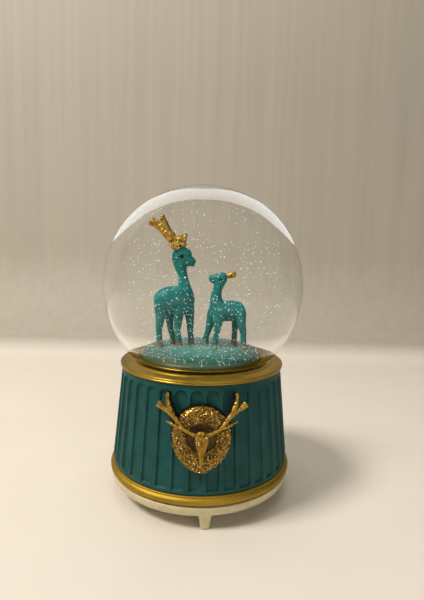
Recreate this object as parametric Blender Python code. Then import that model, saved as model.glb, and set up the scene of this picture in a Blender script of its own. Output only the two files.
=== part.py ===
"""Musical snow globe: a glass globe with two deer on a fluted drum base, a wind-up movement inside.

Lengths in this file are millimetres and are turned into metres when a piece is made.
+Z is up, the front of the globe faces -Y, and the origin is on the table under its axis.
"""

import math

import bmesh
import bpy
from mathutils import Matrix, Vector

METRES = 0.001
GAP = 0.3

# Glass globe
GLOBE_RADIUS = 50.0
GLASS_WALL = 2.0
GLOBE_CENTRE = 103.8
NECK_RADIUS = 32.6
NECK_BOTTOM = 57.0
BUNG_FLANGE = 2.9
BUNG_HOLLOW_RADIUS = 18.0
FILLER_X = 9.0
FILLER_RADIUS = 2.3
FILLER_HEAD_RADIUS = 3.6
FILLER_HEAD_HEIGHT = 1.5

# Mound the deer stand on
MOUND_RADIUS = 29.9
MOUND_FOOT = 65.3
MOUND_EDGE = 67.0
MOUND_TOP = 73.6

# Gold collar, drum, gold band and cream tray
COLLAR_RADIUS = 41.35
COLLAR_BOTTOM = 64.2
COLLAR_TOP = 66.0
LIP_RADIUS = 34.9
LIP_TOP = 67.0
DRUM_TOP = 63.9
DRUM_TOP_RADIUS = 40.2
DRUM_WAIST = 22.0
DRUM_WAIST_RADIUS = 44.3
DRUM_BOTTOM = 16.4
DRUM_BOTTOM_RADIUS = 44.5
DRUM_WALL = 3.2
LEDGE_RADIUS = 24.0
FLUTES = 36
FLUTE_PHASE = math.radians(-92.5)
FLUTE_WIDTH = 5.1
FLUTE_DEPTH = 0.9
FLUTE_ARCH_TOP = 61.3
FLUTE_FOOT = 18.0
BAND_TOP = 16.1
BAND_BOTTOM = 11.7
BAND_RADIUS = 46.3
TRAY_RIM = 11.4
TRAY_FLOOR = 10.2
TRAY_BOTTOM = 6.6
TRAY_RADIUS = 45.8
TRAY_WELL_RADIUS = 40.8
FEET = 3
FOOT_ANGLE = math.radians(-86.3)
FOOT_CENTRE_RADIUS = 42.0
FOOT_TOP_HALF = (3.4, 2.9)
FOOT_BOTTOM_HALF = (1.8, 1.7)
FOOT_ROOT = 9.0

# Screws under the tray
BOSS_RADIUS = 4.0
BOSS_CIRCLE = 36.5
BOSS_TOP = 26.0
HEAD_RADIUS = 2.7
HEAD_HEIGHT = 1.5
HEAD_RECESS = 0.7
SHANK_RADIUS = 1.3
SLOT_WIDTH = 0.7
SLOT_DEPTH = 0.6

# Wind-up movement: a barrel on a vertical axis drives a cylinder and a governor on X axes
BARREL_X = -12.0
KEY_RECESS_RADIUS = 14.0
KEY_RECESS_ROOF = 13.2
BEDPLATE_BOTTOM = 15.7
BEDPLATE_TOP = 18.0
BEDPLATE_HALF = (29.0, 16.5)
MOVEMENT_SCREWS = ((-26.0, 13.2), (22.0, -12.5), (13.0, 12.5))
BARREL_RADIUS = 11.6
BARREL_BOTTOM = 18.4
BARREL_TOP = 24.6
BARREL_SKIN = 0.8
BARREL_BORE = 2.6
WINDING_RADIUS = 1.8
SHOULDER_RADIUS = 2.2
WINDING_BOTTOM = 6.6
WINDING_TOP = 29.6
KEY_HUB_RADIUS = 3.4
KEY_BOTTOM = 4.0
KEY_TOP = 12.4
KEY_WING_THICKNESS = 1.6
KEY_WING_HEIGHT = 6.4
BRIDGE_BOTTOM = 28.2
BRIDGE_TOP = 29.9
BRIDGE_HALF_Y = 15.9
BRIDGE_LEFT = -16.5
BRIDGE_RIGHT = -5.0
CROWN_TEETH = 24
CROWN_PITCH_RADIUS = 12.1
PINION_TEETH = 8
TRAIN_HEIGHT = 31.0
ARBOR_RADIUS = 0.9
CYLINDER_RADIUS = 6.3
CYLINDER_START = 2.6
CYLINDER_LENGTH = 18.0
PIN_REACH = 6.85
NOTES = 18
GOLDEN_ANGLE = math.radians(137.5)
COMB_TIP = 7.2
WHEEL_TEETH = 28
GOVERNOR_PINION_TEETH = 7
WHEEL_MODULE = 0.5
WHEEL_START = 21.2
GOVERNOR_Y = 8.85
GOVERNOR_SHAFT = 0.6
WORM_WHEEL_TEETH = 20
WORM_MODULE = 0.4
WORM_STARTS = 2
FLY_X = 24.2
FLY_Y = GOVERNOR_Y + 5.7
FLY_TOP = 43.2
FLY_SHAFT = 0.55
COMB_SCREW_Y = -14.3
BRACKET_SCREWS = ((24.6, -2.5), (24.6, 5.0))
SMALL_SHANK = 0.8
SMALL_HEAD = 1.7

# Medallion on the front of the drum
MEDALLION_HEIGHT = 42.2
WREATH_RING = 9.75
WREATH_HALF_WIDTH = 2.95
WREATH_STRETCH = 1.08
WREATH_POINT = 0.9
WREATH_THICKNESS = 2.6
PLATE_THICKNESS = 0.8
TROPHY_X = 0.6

COLOURS = {
    "glass": ((0.92, 0.95, 0.95, 1.0), 0.03, 0.0),
    "gold": ((0.55, 0.38, 0.12, 1.0), 0.35, 0.8),
    "teal": ((0.03, 0.16, 0.17, 1.0), 0.5, 0.0),
    "cream": ((0.78, 0.74, 0.62, 1.0), 0.4, 0.0),
    "figure": ((0.04, 0.30, 0.32, 1.0), 0.5, 0.0),
    "rubber": ((0.08, 0.08, 0.08, 1.0), 0.8, 0.0),
    "steel": ((0.56, 0.57, 0.58, 1.0), 0.3, 1.0),
    "brass": ((0.72, 0.55, 0.25, 1.0), 0.3, 1.0),
    "zinc": ((0.45, 0.46, 0.47, 1.0), 0.45, 1.0),
    "nylon": ((0.85, 0.84, 0.80, 1.0), 0.5, 0.0),
}


# ---------------------------------------------------------------- shape tools

def clear_scene():
    """Empty the scene that the script starts in."""
    for thing in list(bpy.data.objects):
        bpy.data.objects.remove(thing, do_unlink=True)


def material(name):
    """One Principled material, made once for each finish."""
    found = bpy.data.materials.get(name)
    if found:
        return found
    made = bpy.data.materials.new(name)
    made.use_nodes = True
    colour, roughness, metallic = COLOURS[name]
    shader = made.node_tree.nodes["Principled BSDF"]
    shader.inputs["Base Color"].default_value = colour
    shader.inputs["Roughness"].default_value = roughness
    shader.inputs["Metallic"].default_value = metallic
    made.diffuse_color = colour
    return made


def add_part(name, shell, finish, origin=(0.0, 0.0, 0.0), smooth=True):
    """Turn a closed shell, in millimetres about its origin, into a named object in metres."""
    bmesh.ops.recalc_face_normals(shell, faces=shell.faces)
    bmesh.ops.scale(shell, vec=(METRES,) * 3, verts=shell.verts)
    mesh = bpy.data.meshes.new(name)
    shell.to_mesh(mesh)
    shell.free()
    if smooth:
        mesh.shade_smooth()
        mesh.set_sharp_from_angle(angle=math.radians(35))
    mesh.materials.append(material(finish))
    made = bpy.data.objects.new(name, mesh)
    made.location = Vector(origin) * METRES
    bpy.context.collection.objects.link(made)
    return made


def lathe(profile, steps=64):
    """Turn a closed outline of (radius, height) points about Z; a radius of 0 is a pole."""
    shell = bmesh.new()
    rings = []
    for radius, height in profile:
        count = steps if radius > 0.0 else 1
        ring = []
        for step in range(count):
            angle = 2.0 * math.pi * step / steps
            spot = (radius * math.cos(angle), radius * math.sin(angle), height)
            ring.append(shell.verts.new(spot))
        rings.append(ring)
    for first, second in zip(rings, rings[1:] + rings[:1]):
        if len(first) == 1 and len(second) == 1:
            continue
        for step in range(steps):
            after = step + 1
            corners = (
                first[step % len(first)],
                first[after % len(first)],
                second[after % len(second)],
                second[step % len(second)],
            )
            shell.faces.new(list(dict.fromkeys(corners)))
    bmesh.ops.recalc_face_normals(shell, faces=shell.faces)
    return shell


def prism(outline, low, high):
    """Extrude a closed outline of (x, y) points from one height to another."""
    shell = bmesh.new()
    bottom = [shell.verts.new((x, y, low)) for x, y in outline]
    top = [shell.verts.new((x, y, high)) for x, y in outline]
    shell.faces.new(bottom[::-1])
    shell.faces.new(top)
    count = len(outline)
    for corner in range(count):
        after = (corner + 1) % count
        shell.faces.new((bottom[corner], bottom[after], top[after], top[corner]))
    bmesh.ops.recalc_face_normals(shell, faces=shell.faces)
    return shell


def box(low, high):
    """A block between two corners."""
    outline = ((low[0], low[1]), (high[0], low[1]), (high[0], high[1]), (low[0], high[1]))
    return prism(outline, low[2], high[2])


def rod(radius, low, high, centre=(0.0, 0.0), sides=20):
    """A round bar on a vertical axis."""
    return prism(circle(radius, sides, centre), low, high)


def circle(radius, sides, centre=(0.0, 0.0)):
    """Points of a circle, anticlockwise."""
    points = []
    for side in range(sides):
        angle = 2.0 * math.pi * (side + 0.5) / sides
        points.append((centre[0] + radius * math.cos(angle), centre[1] + radius * math.sin(angle)))
    return points


def loft(sections, sides=10):
    """Skin oval sections given as (centre, half height, half width) along a path near the XZ plane."""
    shell = bmesh.new()
    centres = [Vector(section[0]) for section in sections]
    rings = []
    for index, (centre, high, wide) in enumerate(sections):
        before = centres[max(index - 1, 0)]
        after = centres[min(index + 1, len(centres) - 1)]
        along = (after - before).normalized()
        across = (Vector((0.0, 1.0, 0.0)) - along.y * along).normalized()
        upward = along.cross(across)
        ring = []
        for side in range(sides):
            angle = 2.0 * math.pi * side / sides
            offset = upward * (high * math.cos(angle)) + across * (wide * math.sin(angle))
            ring.append(shell.verts.new(centres[index] + offset))
        rings.append(ring)
    for first, second in zip(rings, rings[1:]):
        for side in range(sides):
            after = (side + 1) % sides
            shell.faces.new((first[side], first[after], second[after], second[side]))
    shell.faces.new(rings[0][::-1])
    shell.faces.new(rings[-1])
    bmesh.ops.recalc_face_normals(shell, faces=shell.faces)
    return shell


def moved(shell, matrix):
    """The same shell after a rotation or a move."""
    bmesh.ops.transform(shell, matrix=matrix, verts=shell.verts)
    return shell


def along_x(shell):
    """Lay a shell that was made along Z along X instead."""
    return moved(shell, Matrix.Rotation(math.radians(90), 4, "Y"))


def boolean(base, tool, operation):
    """Exact Boolean of two closed shells, which are both used up."""
    scratch = []
    for shell in (base, tool):
        mesh = bpy.data.meshes.new("scratch")
        shell.to_mesh(mesh)
        shell.free()
        piece = bpy.data.objects.new("scratch", mesh)
        bpy.context.collection.objects.link(piece)
        scratch.append(piece)
    modifier = scratch[0].modifiers.new("Boolean", "BOOLEAN")
    modifier.solver = "EXACT"
    modifier.operation = operation
    modifier.object = scratch[1]
    graph = bpy.context.evaluated_depsgraph_get()
    result = bmesh.new()
    result.from_mesh(scratch[0].evaluated_get(graph).to_mesh())
    for piece in scratch:
        bpy.data.objects.remove(piece, do_unlink=True)
    bmesh.ops.dissolve_degenerate(result, dist=0.0005, edges=result.edges)
    return result


def unite(shells):
    """Join closed shells that run into each other into one body."""
    whole = shells[0]
    for shell in shells[1:]:
        whole = boolean(whole, shell, "UNION")
    return whole


def cut(base, tools):
    """Take closed shells away from a base."""
    for tool in tools:
        base = boolean(base, tool, "DIFFERENCE")
    return base


def gear_outline(teeth, root, tip, root_share, tip_share, phase=0.0):
    """Toothed outline; the shares are how much of one pitch a tooth fills at its root and tip."""
    points = []
    pitch = 2.0 * math.pi / teeth
    for tooth in range(teeth):
        middle = phase + tooth * pitch
        for side, radius, share in ((-1, root, root_share), (-1, tip, tip_share),
                                    (1, tip, tip_share), (1, root, root_share)):
            angle = middle + side * 0.5 * share * pitch
            points.append((radius * math.cos(angle), radius * math.sin(angle)))
    return points


def spot_on_circle(radius, angle, height=0.0):
    """A point at a radius and an angle about Z."""
    return (radius * math.cos(angle), radius * math.sin(angle), height)


def spaced_angles(count, first):
    """Equally spaced angles from a first one."""
    return [first + 2.0 * math.pi * index / count for index in range(count)]


# ---------------------------------------------------------------- globe and its seal

def arc_profile(radius, start, end, points):
    """Points of an arc about the globe's centre; angles are measured from straight up."""
    profile = []
    for index in range(points):
        angle = start + (end - start) * index / (points - 1)
        reach = radius * math.sin(angle) if angle > 0.0 else 0.0
        profile.append((reach, GLOBE_CENTRE + radius * math.cos(angle)))
    return profile


def glass_globe():
    inner_radius = GLOBE_RADIUS - GLASS_WALL
    inner_neck = NECK_RADIUS - GLASS_WALL
    outer_end = math.pi - math.asin(NECK_RADIUS / GLOBE_RADIUS)
    inner_end = math.pi - math.asin(inner_neck / inner_radius)
    outer = arc_profile(GLOBE_RADIUS, 0.0, 0.5 * math.pi, 9)
    outer += arc_profile(GLOBE_RADIUS, 0.5 * math.pi, outer_end, 6)[1:]
    inner = arc_profile(inner_radius, inner_end, 0.0, 13)
    neck = [(NECK_RADIUS, NECK_BOTTOM), (inner_neck, NECK_BOTTOM)]
    add_part("glass_globe", lathe(outer + neck + inner, 36), "glass")


def sealing_bung():
    plug = NECK_RADIUS - GLASS_WALL - GAP
    top = MOUND_FOOT - GAP
    flange_top = NECK_BOTTOM - GAP
    profile = [(0.0, top), (plug - 1.0, top)]
    for rib in range(2):
        ridge = top - 1.6 - 2.8 * rib
        profile += [(plug, ridge + 0.5), (plug, ridge - 0.5), (plug - 0.7, ridge - 1.2)]
    profile += [(plug - 0.7, flange_top), (NECK_RADIUS, flange_top)]
    profile += [(NECK_RADIUS, NECK_BOTTOM - BUNG_FLANGE), (BUNG_HOLLOW_RADIUS, NECK_BOTTOM - BUNG_FLANGE)]
    profile += [(BUNG_HOLLOW_RADIUS - 2.0, NECK_BOTTOM + 1.0), (0.0, NECK_BOTTOM + 1.0)]
    shell = lathe(profile, 28)
    filler = rod(FILLER_RADIUS + GAP, NECK_BOTTOM, MOUND_FOOT, (FILLER_X, 0.0), 12)
    add_part("sealing_bung", cut(shell, [filler]), "rubber")


def filler_plug():
    top = MOUND_FOOT - GAP
    shoulder = NECK_BOTTOM + 1.0 - GAP
    bottom = shoulder - FILLER_HEAD_HEIGHT
    profile = [(0.0, top), (FILLER_RADIUS, top), (FILLER_RADIUS, shoulder)]
    profile += [(FILLER_HEAD_RADIUS, shoulder), (FILLER_HEAD_RADIUS, bottom), (0.0, bottom)]
    shell = moved(lathe(profile, 16), Matrix.Translation((FILLER_X, 0.0, 0.0)))
    add_part("filler_plug", shell, "rubber")


# ---------------------------------------------------------------- mound and deer

def mound_profile(grow=0.0):
    """Dome with a broad flat top; grow lifts and widens it for a cutter."""
    profile = [(0.0, MOUND_FOOT - grow), (MOUND_RADIUS - 0.8 + grow, MOUND_FOOT - grow)]
    steps = 7
    for step in range(steps + 1):
        turn = 0.5 * math.pi * step / steps
        radius = (MOUND_RADIUS + grow) * math.sqrt(math.cos(turn))
        height = MOUND_EDGE + grow + (MOUND_TOP - MOUND_EDGE) * math.sin(turn)
        profile.append((radius if step < steps else 0.0, height))
    return profile


def deer_mound():
    add_part("snow_mound", lathe(mound_profile(), 32), "figure")


def leg(path, depth):
    """A leg from (x, z, radius) points, at a depth along Y."""
    return loft([((x, depth, z), radius, radius * 0.95) for x, z, radius in path], 8)


def trunk(path, depth):
    """Body, neck or head from (x, z, half height, half width) points."""
    return loft([((x, depth, z), high, wide) for x, z, high, wide in path], 12)


def standing_on_mound(shell):
    """Trim the feet so that they follow the mound."""
    return cut(shell, [lathe(mound_profile(GAP), 32)])


# Rows of the trunks, necks and heads are x, z, half height and half width; rows of the legs are
# x, z and radius, and each leg has its own depth along Y.
STAG_DEPTH = -2.0
STAG_BODY = ((-25.0, 94.2, 2.6, 2.2), (-22.8, 94.8, 5.0, 3.8), (-18.5, 96.0, 6.6, 5.0),
             (-13.8, 96.6, 6.6, 5.0), (-9.6, 96.5, 5.9, 4.5), (-5.8, 95.8, 3.6, 3.0))
STAG_NECK = ((-8.9, 95.0, 4.7, 3.8), (-9.3, 101.0, 3.9, 3.3), (-9.8, 104.5, 3.0, 2.8),
             (-10.4, 108.8, 2.4, 2.35), (-11.6, 114.5, 3.3, 2.8))
STAG_HEAD = ((-15.2, 117.4, 2.4, 1.9), (-13.6, 117.9, 4.1, 3.0), (-10.8, 118.3, 4.3, 3.2),
             (-8.2, 117.0, 3.1, 2.5), (-6.2, 115.8, 2.0, 1.9), (-4.1, 115.0, 1.3, 1.4))
STAG_LEGS = (
    (-4.2, ((-21.4, 93.5, 3.5), (-21.5, 87.0, 2.4), (-22.0, 81.5, 1.7), (-21.8, 76.5, 1.6),
            (-21.7, 71.0, 2.0))),
    (1.0, ((-17.6, 92.0, 3.0), (-17.0, 86.0, 2.1), (-16.6, 81.0, 1.6), (-15.3, 76.5, 1.5),
           (-15.1, 71.0, 1.9))),
    (-4.0, ((-12.0, 93.5, 3.2), (-12.3, 87.0, 2.3), (-12.6, 81.0, 1.7), (-12.0, 76.5, 1.6),
            (-11.8, 71.0, 1.9))),
    (0.6, ((-7.6, 93.0, 3.2), (-6.6, 87.0, 2.2), (-6.4, 81.0, 1.7), (-5.9, 76.5, 1.6),
           (-5.8, 71.0, 1.9))),
)
STAG_ANTLER = ((-14.0, 126.3, 1.5, 1.1), (-16.2, 128.0, 2.3, 1.25), (-18.6, 130.2, 2.6, 1.3),
               (-21.6, 132.8, 2.3, 1.25), (-24.2, 134.4, 1.9, 1.2), (-26.0, 135.2, 2.0, 1.3))
STAG_TINE = ((-18.8, 131.2, 1.9, 1.1), (-20.0, 134.5, 1.7, 1.0), (-20.8, 138.4, 0.9, 0.8))

FAWN_DEPTH = -3.0
FAWN_BODY = ((21.8, 91.9, 2.4, 2.1), (19.4, 92.1, 4.2, 3.3), (15.6, 91.8, 5.1, 4.0),
             (11.5, 91.3, 5.3, 4.1), (7.0, 91.4, 4.8, 3.8), (3.7, 91.6, 3.0, 2.6))
FAWN_NECK = ((7.1, 93.0, 4.1, 3.2), (6.6, 97.3, 3.1, 2.7), (6.7, 100.0, 2.65, 2.4),
             (7.4, 103.0, 2.4, 2.2), (8.6, 106.6, 2.7, 2.4))
FAWN_HEAD = ((12.2, 108.3, 1.6, 1.6), (10.6, 108.4, 2.7, 2.4), (8.4, 107.9, 3.0, 2.6),
             (5.8, 107.4, 2.3, 2.0), (3.7, 107.8, 1.6, 1.5), (2.3, 108.2, 1.0, 1.1))
FAWN_LEGS = (
    (-0.6, ((5.2, 90.0, 2.9), (3.8, 84.0, 2.0), (2.8, 80.0, 1.6), (1.9, 76.5, 1.5),
            (1.7, 71.0, 1.8))),
    (-5.4, ((8.2, 89.5, 2.9), (7.6, 84.0, 2.0), (7.1, 80.5, 1.6), (6.7, 76.5, 1.5),
            (6.6, 71.0, 1.8))),
    (-0.2, ((17.4, 90.0, 2.8), (16.9, 84.0, 1.9), (16.6, 80.5, 1.5), (16.5, 76.5, 1.5),
            (16.5, 71.0, 1.8))),
    (-5.4, ((18.9, 90.8, 3.0), (19.7, 85.0, 2.1), (20.6, 81.0, 1.7), (20.8, 76.5, 1.6),
            (20.8, 70.0, 1.9))),
)
HORN = (((12.6, 109.2), 0.9), ((14.0, 109.6), 0.75), ((15.2, 110.0), 1.0), ((16.4, 110.4), 0.6))


def deer(name, body, neck, head, legs, depth):
    """One figure, joined from a trunk, a neck, a head and four legs."""
    shells = [trunk(body, depth), trunk(neck, depth), trunk(head, depth)]
    shells += [leg(path, leg_depth) for leg_depth, path in legs]
    add_part(name, standing_on_mound(unite(shells)), "figure")


def stag_crown():
    """Two antlers and the wreath of buds round their roots."""
    skull_top = 122.9
    for name, depth in (("stag_antler_near", STAG_DEPTH - 2.0), ("stag_antler_far", STAG_DEPTH + 2.0)):
        beam = trunk(STAG_ANTLER, depth)
        tine = trunk(STAG_TINE, depth)
        add_part(name, unite([beam, tine]), "gold")
    ring = lathe([(1.5, -0.9), (3.4, -0.9), (3.9, 0.0), (3.4, 0.7), (1.5, 0.7)], 18)
    ring = moved(ring, Matrix.Translation((-11.6, STAG_DEPTH, skull_top + GAP + 0.6)))
    add_part("stag_wreath", ring, "gold")


def fawn_horn():
    sections = [((x, FAWN_DEPTH, z), radius, radius) for (x, z), radius in HORN]
    add_part("fawn_horn", loft(sections, 8), "gold")


# ---------------------------------------------------------------- base shells

def collar_ring():
    profile = [(LIP_RADIUS - 0.6, LIP_TOP - 0.5), (LIP_RADIUS, LIP_TOP), (LIP_RADIUS + 0.9, LIP_TOP - 0.1)]
    profile += [(LIP_RADIUS + 1.4, LIP_TOP - 0.45), (COLLAR_RADIUS - 0.9, COLLAR_TOP + 0.15)]
    profile += [(COLLAR_RADIUS - 0.3, COLLAR_TOP + 0.05), (COLLAR_RADIUS, COLLAR_TOP - 0.4)]
    profile += [(COLLAR_RADIUS - 0.35, COLLAR_TOP - 0.9), (COLLAR_RADIUS - 0.1, COLLAR_BOTTOM + 0.5)]
    profile += [(COLLAR_RADIUS - 0.5, COLLAR_BOTTOM), (LIP_RADIUS - 0.6, COLLAR_BOTTOM)]
    add_part("collar_ring", lathe(profile, 40), "gold")


def drum_radius(height):
    """Outer radius of the drum: a straight taper, then upright at the foot."""
    if height < DRUM_WAIST:
        return DRUM_BOTTOM_RADIUS
    share = (height - DRUM_WAIST) / (DRUM_TOP - DRUM_WAIST)
    return DRUM_WAIST_RADIUS + (DRUM_TOP_RADIUS - DRUM_WAIST_RADIUS) * share


def flute_cutter(angle):
    """A long round-topped pocket that leans with the wall."""
    half = 0.5 * FLUTE_WIDTH
    lean = math.atan2(DRUM_WAIST_RADIUS - DRUM_TOP_RADIUS, DRUM_TOP - DRUM_WAIST)
    length = (FLUTE_ARCH_TOP - DRUM_WAIST) / math.cos(lean)
    foot = (FLUTE_FOOT - DRUM_WAIST) / math.cos(lean)
    outline = [(-half, foot), (half, foot), (half, length - half)]
    for step in range(1, 5):
        turn = math.pi * step / 5
        outline.append((half * math.cos(turn), length - half + half * math.sin(turn)))
    outline.append((-half, length - half))
    shell = prism(outline, -FLUTE_DEPTH, 3.0)
    upright = Matrix(((0.0, 0.0, 1.0), (1.0, 0.0, 0.0), (0.0, 1.0, 0.0))).to_4x4()
    place = Matrix.Translation((DRUM_WAIST_RADIUS, 0.0, DRUM_WAIST))
    tilt = Matrix.Rotation(-lean, 4, "Y")
    return moved(shell, Matrix.Rotation(angle, 4, "Z") @ place @ tilt @ upright)


def screw_spots():
    """Places of the tray screws, midway between the feet."""
    angles = spaced_angles(FEET, FOOT_ANGLE + math.pi / FEET)
    return [spot_on_circle(BOSS_CIRCLE, angle) for angle in angles]


def base_shell():
    seat = NECK_BOTTOM - BUNG_FLANGE - GAP
    inner_top = drum_radius(seat) - DRUM_WALL
    profile = [(NECK_RADIUS + GAP, DRUM_TOP), (DRUM_TOP_RADIUS, DRUM_TOP)]
    profile += [(DRUM_WAIST_RADIUS, DRUM_WAIST), (DRUM_BOTTOM_RADIUS, DRUM_BOTTOM)]
    profile += [(DRUM_BOTTOM_RADIUS - DRUM_WALL, DRUM_BOTTOM), (inner_top, seat - 4.0)]
    profile += [(LEDGE_RADIUS, seat - 3.0), (LEDGE_RADIUS, seat), (NECK_RADIUS + GAP, seat)]
    shell = moved(lathe(profile, FLUTES), Matrix.Rotation(FLUTE_PHASE + math.pi / FLUTES, 4, "Z"))
    bosses = [rod(BOSS_RADIUS, TRAY_FLOOR + GAP, BOSS_TOP, spot[:2], 14) for spot in screw_spots()]
    cutters = [rod(SHANK_RADIUS + GAP, 5.0, BOSS_TOP - 2.0, spot[:2], 12) for spot in screw_spots()]
    cutters += [flute_cutter(angle) for angle in spaced_angles(FLUTES, FLUTE_PHASE)]
    add_part("base_shell", cut(unite([shell] + bosses), cutters), "teal")


def lower_band():
    inner = DRUM_BOTTOM_RADIUS - DRUM_WALL
    bead = 1.75
    middle = BAND_BOTTOM + bead
    profile = [(inner, BAND_TOP), (DRUM_BOTTOM_RADIUS - 0.2, BAND_TOP)]
    profile += [(DRUM_BOTTOM_RADIUS + 0.5, BAND_TOP - 0.35), (DRUM_BOTTOM_RADIUS + 0.6, BAND_TOP - 0.8)]
    for step in range(5):
        turn = math.radians(60 - 35 * step)
        profile.append((BAND_RADIUS - 1.6 + 1.6 * math.cos(turn), middle + bead * math.sin(turn)))
    profile += [(BAND_RADIUS - 1.4, BAND_BOTTOM), (inner, BAND_BOTTOM)]
    add_part("lower_band", lathe(profile, 40), "gold")


def foot_shape(angle):
    """A tapered foot that flares where it grows out of the tray."""
    sections = []
    for share, flare in ((0.0, 0.0), (0.05, 0.08), (0.38, 0.3), (0.76, 0.62), (1.0, 1.0)):
        wide, deep = [low + (high - low) * flare for low, high in zip(FOOT_BOTTOM_HALF, FOOT_TOP_HALF)]
        sections.append(((0.0, 0.0, TRAY_BOTTOM * share), wide, deep))
    sections.append(((0.0, 0.0, FOOT_ROOT), *FOOT_TOP_HALF))
    shell = loft(sections, 10)
    place = Matrix.Translation(spot_on_circle(FOOT_CENTRE_RADIUS, angle))
    turn = Matrix.Rotation(angle - math.pi / 2, 4, "Z")
    return moved(shell, place @ turn)


def bottom_tray():
    profile = [(0.0, TRAY_FLOOR), (TRAY_WELL_RADIUS, TRAY_FLOOR), (TRAY_WELL_RADIUS + 0.4, TRAY_RIM)]
    profile.append((TRAY_RADIUS, TRAY_RIM))
    profile += [(TRAY_RADIUS - 0.15, TRAY_RIM - 1.6), (TRAY_RADIUS - 0.7, TRAY_BOTTOM + 0.9)]
    profile += [(TRAY_RADIUS - 1.6, TRAY_BOTTOM + 0.15), (TRAY_RADIUS - 2.4, TRAY_BOTTOM)]
    profile.append((0.0, TRAY_BOTTOM))
    shell = lathe(profile, 40)
    additions = [foot_shape(angle) for angle in spaced_angles(FEET, FOOT_ANGLE)]
    roof = BEDPLATE_BOTTOM - GAP
    additions.append(rod(KEY_RECESS_RADIUS + 2.0, 8.5, roof, (BARREL_X, 0.0), 24))
    additions += [rod(3.6, 8.5, roof, spot, 14) for spot in MOVEMENT_SCREWS]
    shell = unite([shell] + additions)
    cutters = [rod(KEY_RECESS_RADIUS, 5.0, KEY_RECESS_ROOF, (BARREL_X, 0.0), 24)]
    cutters.append(rod(BARREL_BORE, KEY_RECESS_ROOF - 1.0, 17.0, (BARREL_X, 0.0), 16))
    head_roof = TRAY_BOTTOM + HEAD_RECESS + HEAD_HEIGHT + GAP
    for spot in list(MOVEMENT_SCREWS) + [spot[:2] for spot in screw_spots()]:
        cutters.append(rod(SHANK_RADIUS + GAP, 5.0, 17.0, spot, 8))
        cutters.append(rod(HEAD_RADIUS + GAP, 5.0, head_roof, spot, 12))
    add_part("bottom_tray", cut(shell, cutters), "cream")


def slotted_screw(name, spot, face, tip, head_radius=HEAD_RADIUS, shank=SHANK_RADIUS):
    """A screw with a slotted pan head, from the outer face of its head to its tip."""
    way = math.copysign(1.0, tip - face)
    under = face + way * HEAD_HEIGHT
    profile = [(0.0, face), (head_radius - 0.4, face), (head_radius, face + way * 0.4)]
    profile += [(head_radius, under), (shank, under), (shank, tip - way * 0.8)]
    profile += [(shank * 0.4, tip), (0.0, tip)]
    low, high = sorted((face - way, face + way * SLOT_DEPTH))
    slot = box((-0.5 * SLOT_WIDTH, -HEAD_RADIUS - 1.0, low), (0.5 * SLOT_WIDTH, HEAD_RADIUS + 1.0, high))
    add_part(name, cut(lathe(profile, 10), [slot]), "steel", (spot[0], spot[1], 0.0))


def tray_fasteners():
    face = TRAY_BOTTOM + HEAD_RECESS
    for index, spot in enumerate(screw_spots()):
        slotted_screw("tray_screw_%d" % (index + 1), spot, face, BOSS_TOP - 4.0)
    for index, spot in enumerate(MOVEMENT_SCREWS):
        slotted_screw("movement_screw_%d" % (index + 1), spot, face, BEDPLATE_TOP - 0.2)


# ---------------------------------------------------------------- medallion

# Rows of the head are height, half width and half depth; rows of the antlers are the distance from
# the head's middle, height, radius and how far the branch sinks back towards the drum.
TROPHY_HEAD = ((45.6, 1.9, 1.0), (44.7, 2.7, 1.4), (43.3, 3.05, 1.6), (41.1, 2.6, 1.55), (39.0, 1.85, 1.4),
               (36.8, 1.25, 1.1), (34.6, 0.95, 0.95), (32.4, 0.8, 0.75), (30.4, 0.65, 0.6))
TROPHY_BEAM = ((3.8, 44.7, 0.85, 0.1), (8.0, 46.5, 0.85, 0.0), (11.2, 47.8, 0.8, 0.1),
               (15.4, 49.1, 0.45, 0.9))
TROPHY_RISER = ((8.6, 47.2, 0.8, 0.1), (10.6, 49.4, 0.85, 0.1), (12.9, 52.6, 1.15, 0.4),
                (14.3, 55.6, 1.05, 0.7), (14.9, 60.8, 0.7, 1.2))
TROPHY_END = ((12.8, 52.2, 0.85, 0.4), (15.0, 53.8, 1.0, 0.8), (18.6, 55.9, 1.7, 1.1))


def drum_spot(x, height, stand_off):
    """A point in front of the drum's face."""
    radius = drum_radius(height) + stand_off
    return Vector((x, -math.sqrt(radius * radius - x * x), height))


def medallion_front():
    """Stand-off of the wreath's front from the drum."""
    return GAP + PLATE_THICKNESS + GAP + WREATH_THICKNESS


def medallion_plate():
    """Thin round plate that follows the drum."""
    radius = WREATH_RING - 1.6
    shell = bmesh.new()
    layers = []
    for stand_off in (GAP, GAP + PLATE_THICKNESS):
        rim = []
        for x, z in circle(radius, 24):
            rim.append(shell.verts.new(drum_spot(x, MEDALLION_HEIGHT + z, stand_off)))
        middle = shell.verts.new(drum_spot(0.0, MEDALLION_HEIGHT, stand_off))
        layers.append((rim, middle))
    for rim, middle in layers:
        for index in range(len(rim)):
            shell.faces.new((rim[index], rim[(index + 1) % len(rim)], middle))
    low, high = layers[0][0], layers[1][0]
    for index in range(len(low)):
        after = (index + 1) % len(low)
        shell.faces.new((low[index], low[after], high[after], high[index]))
    add_part("medallion_plate", shell, "gold")


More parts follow.
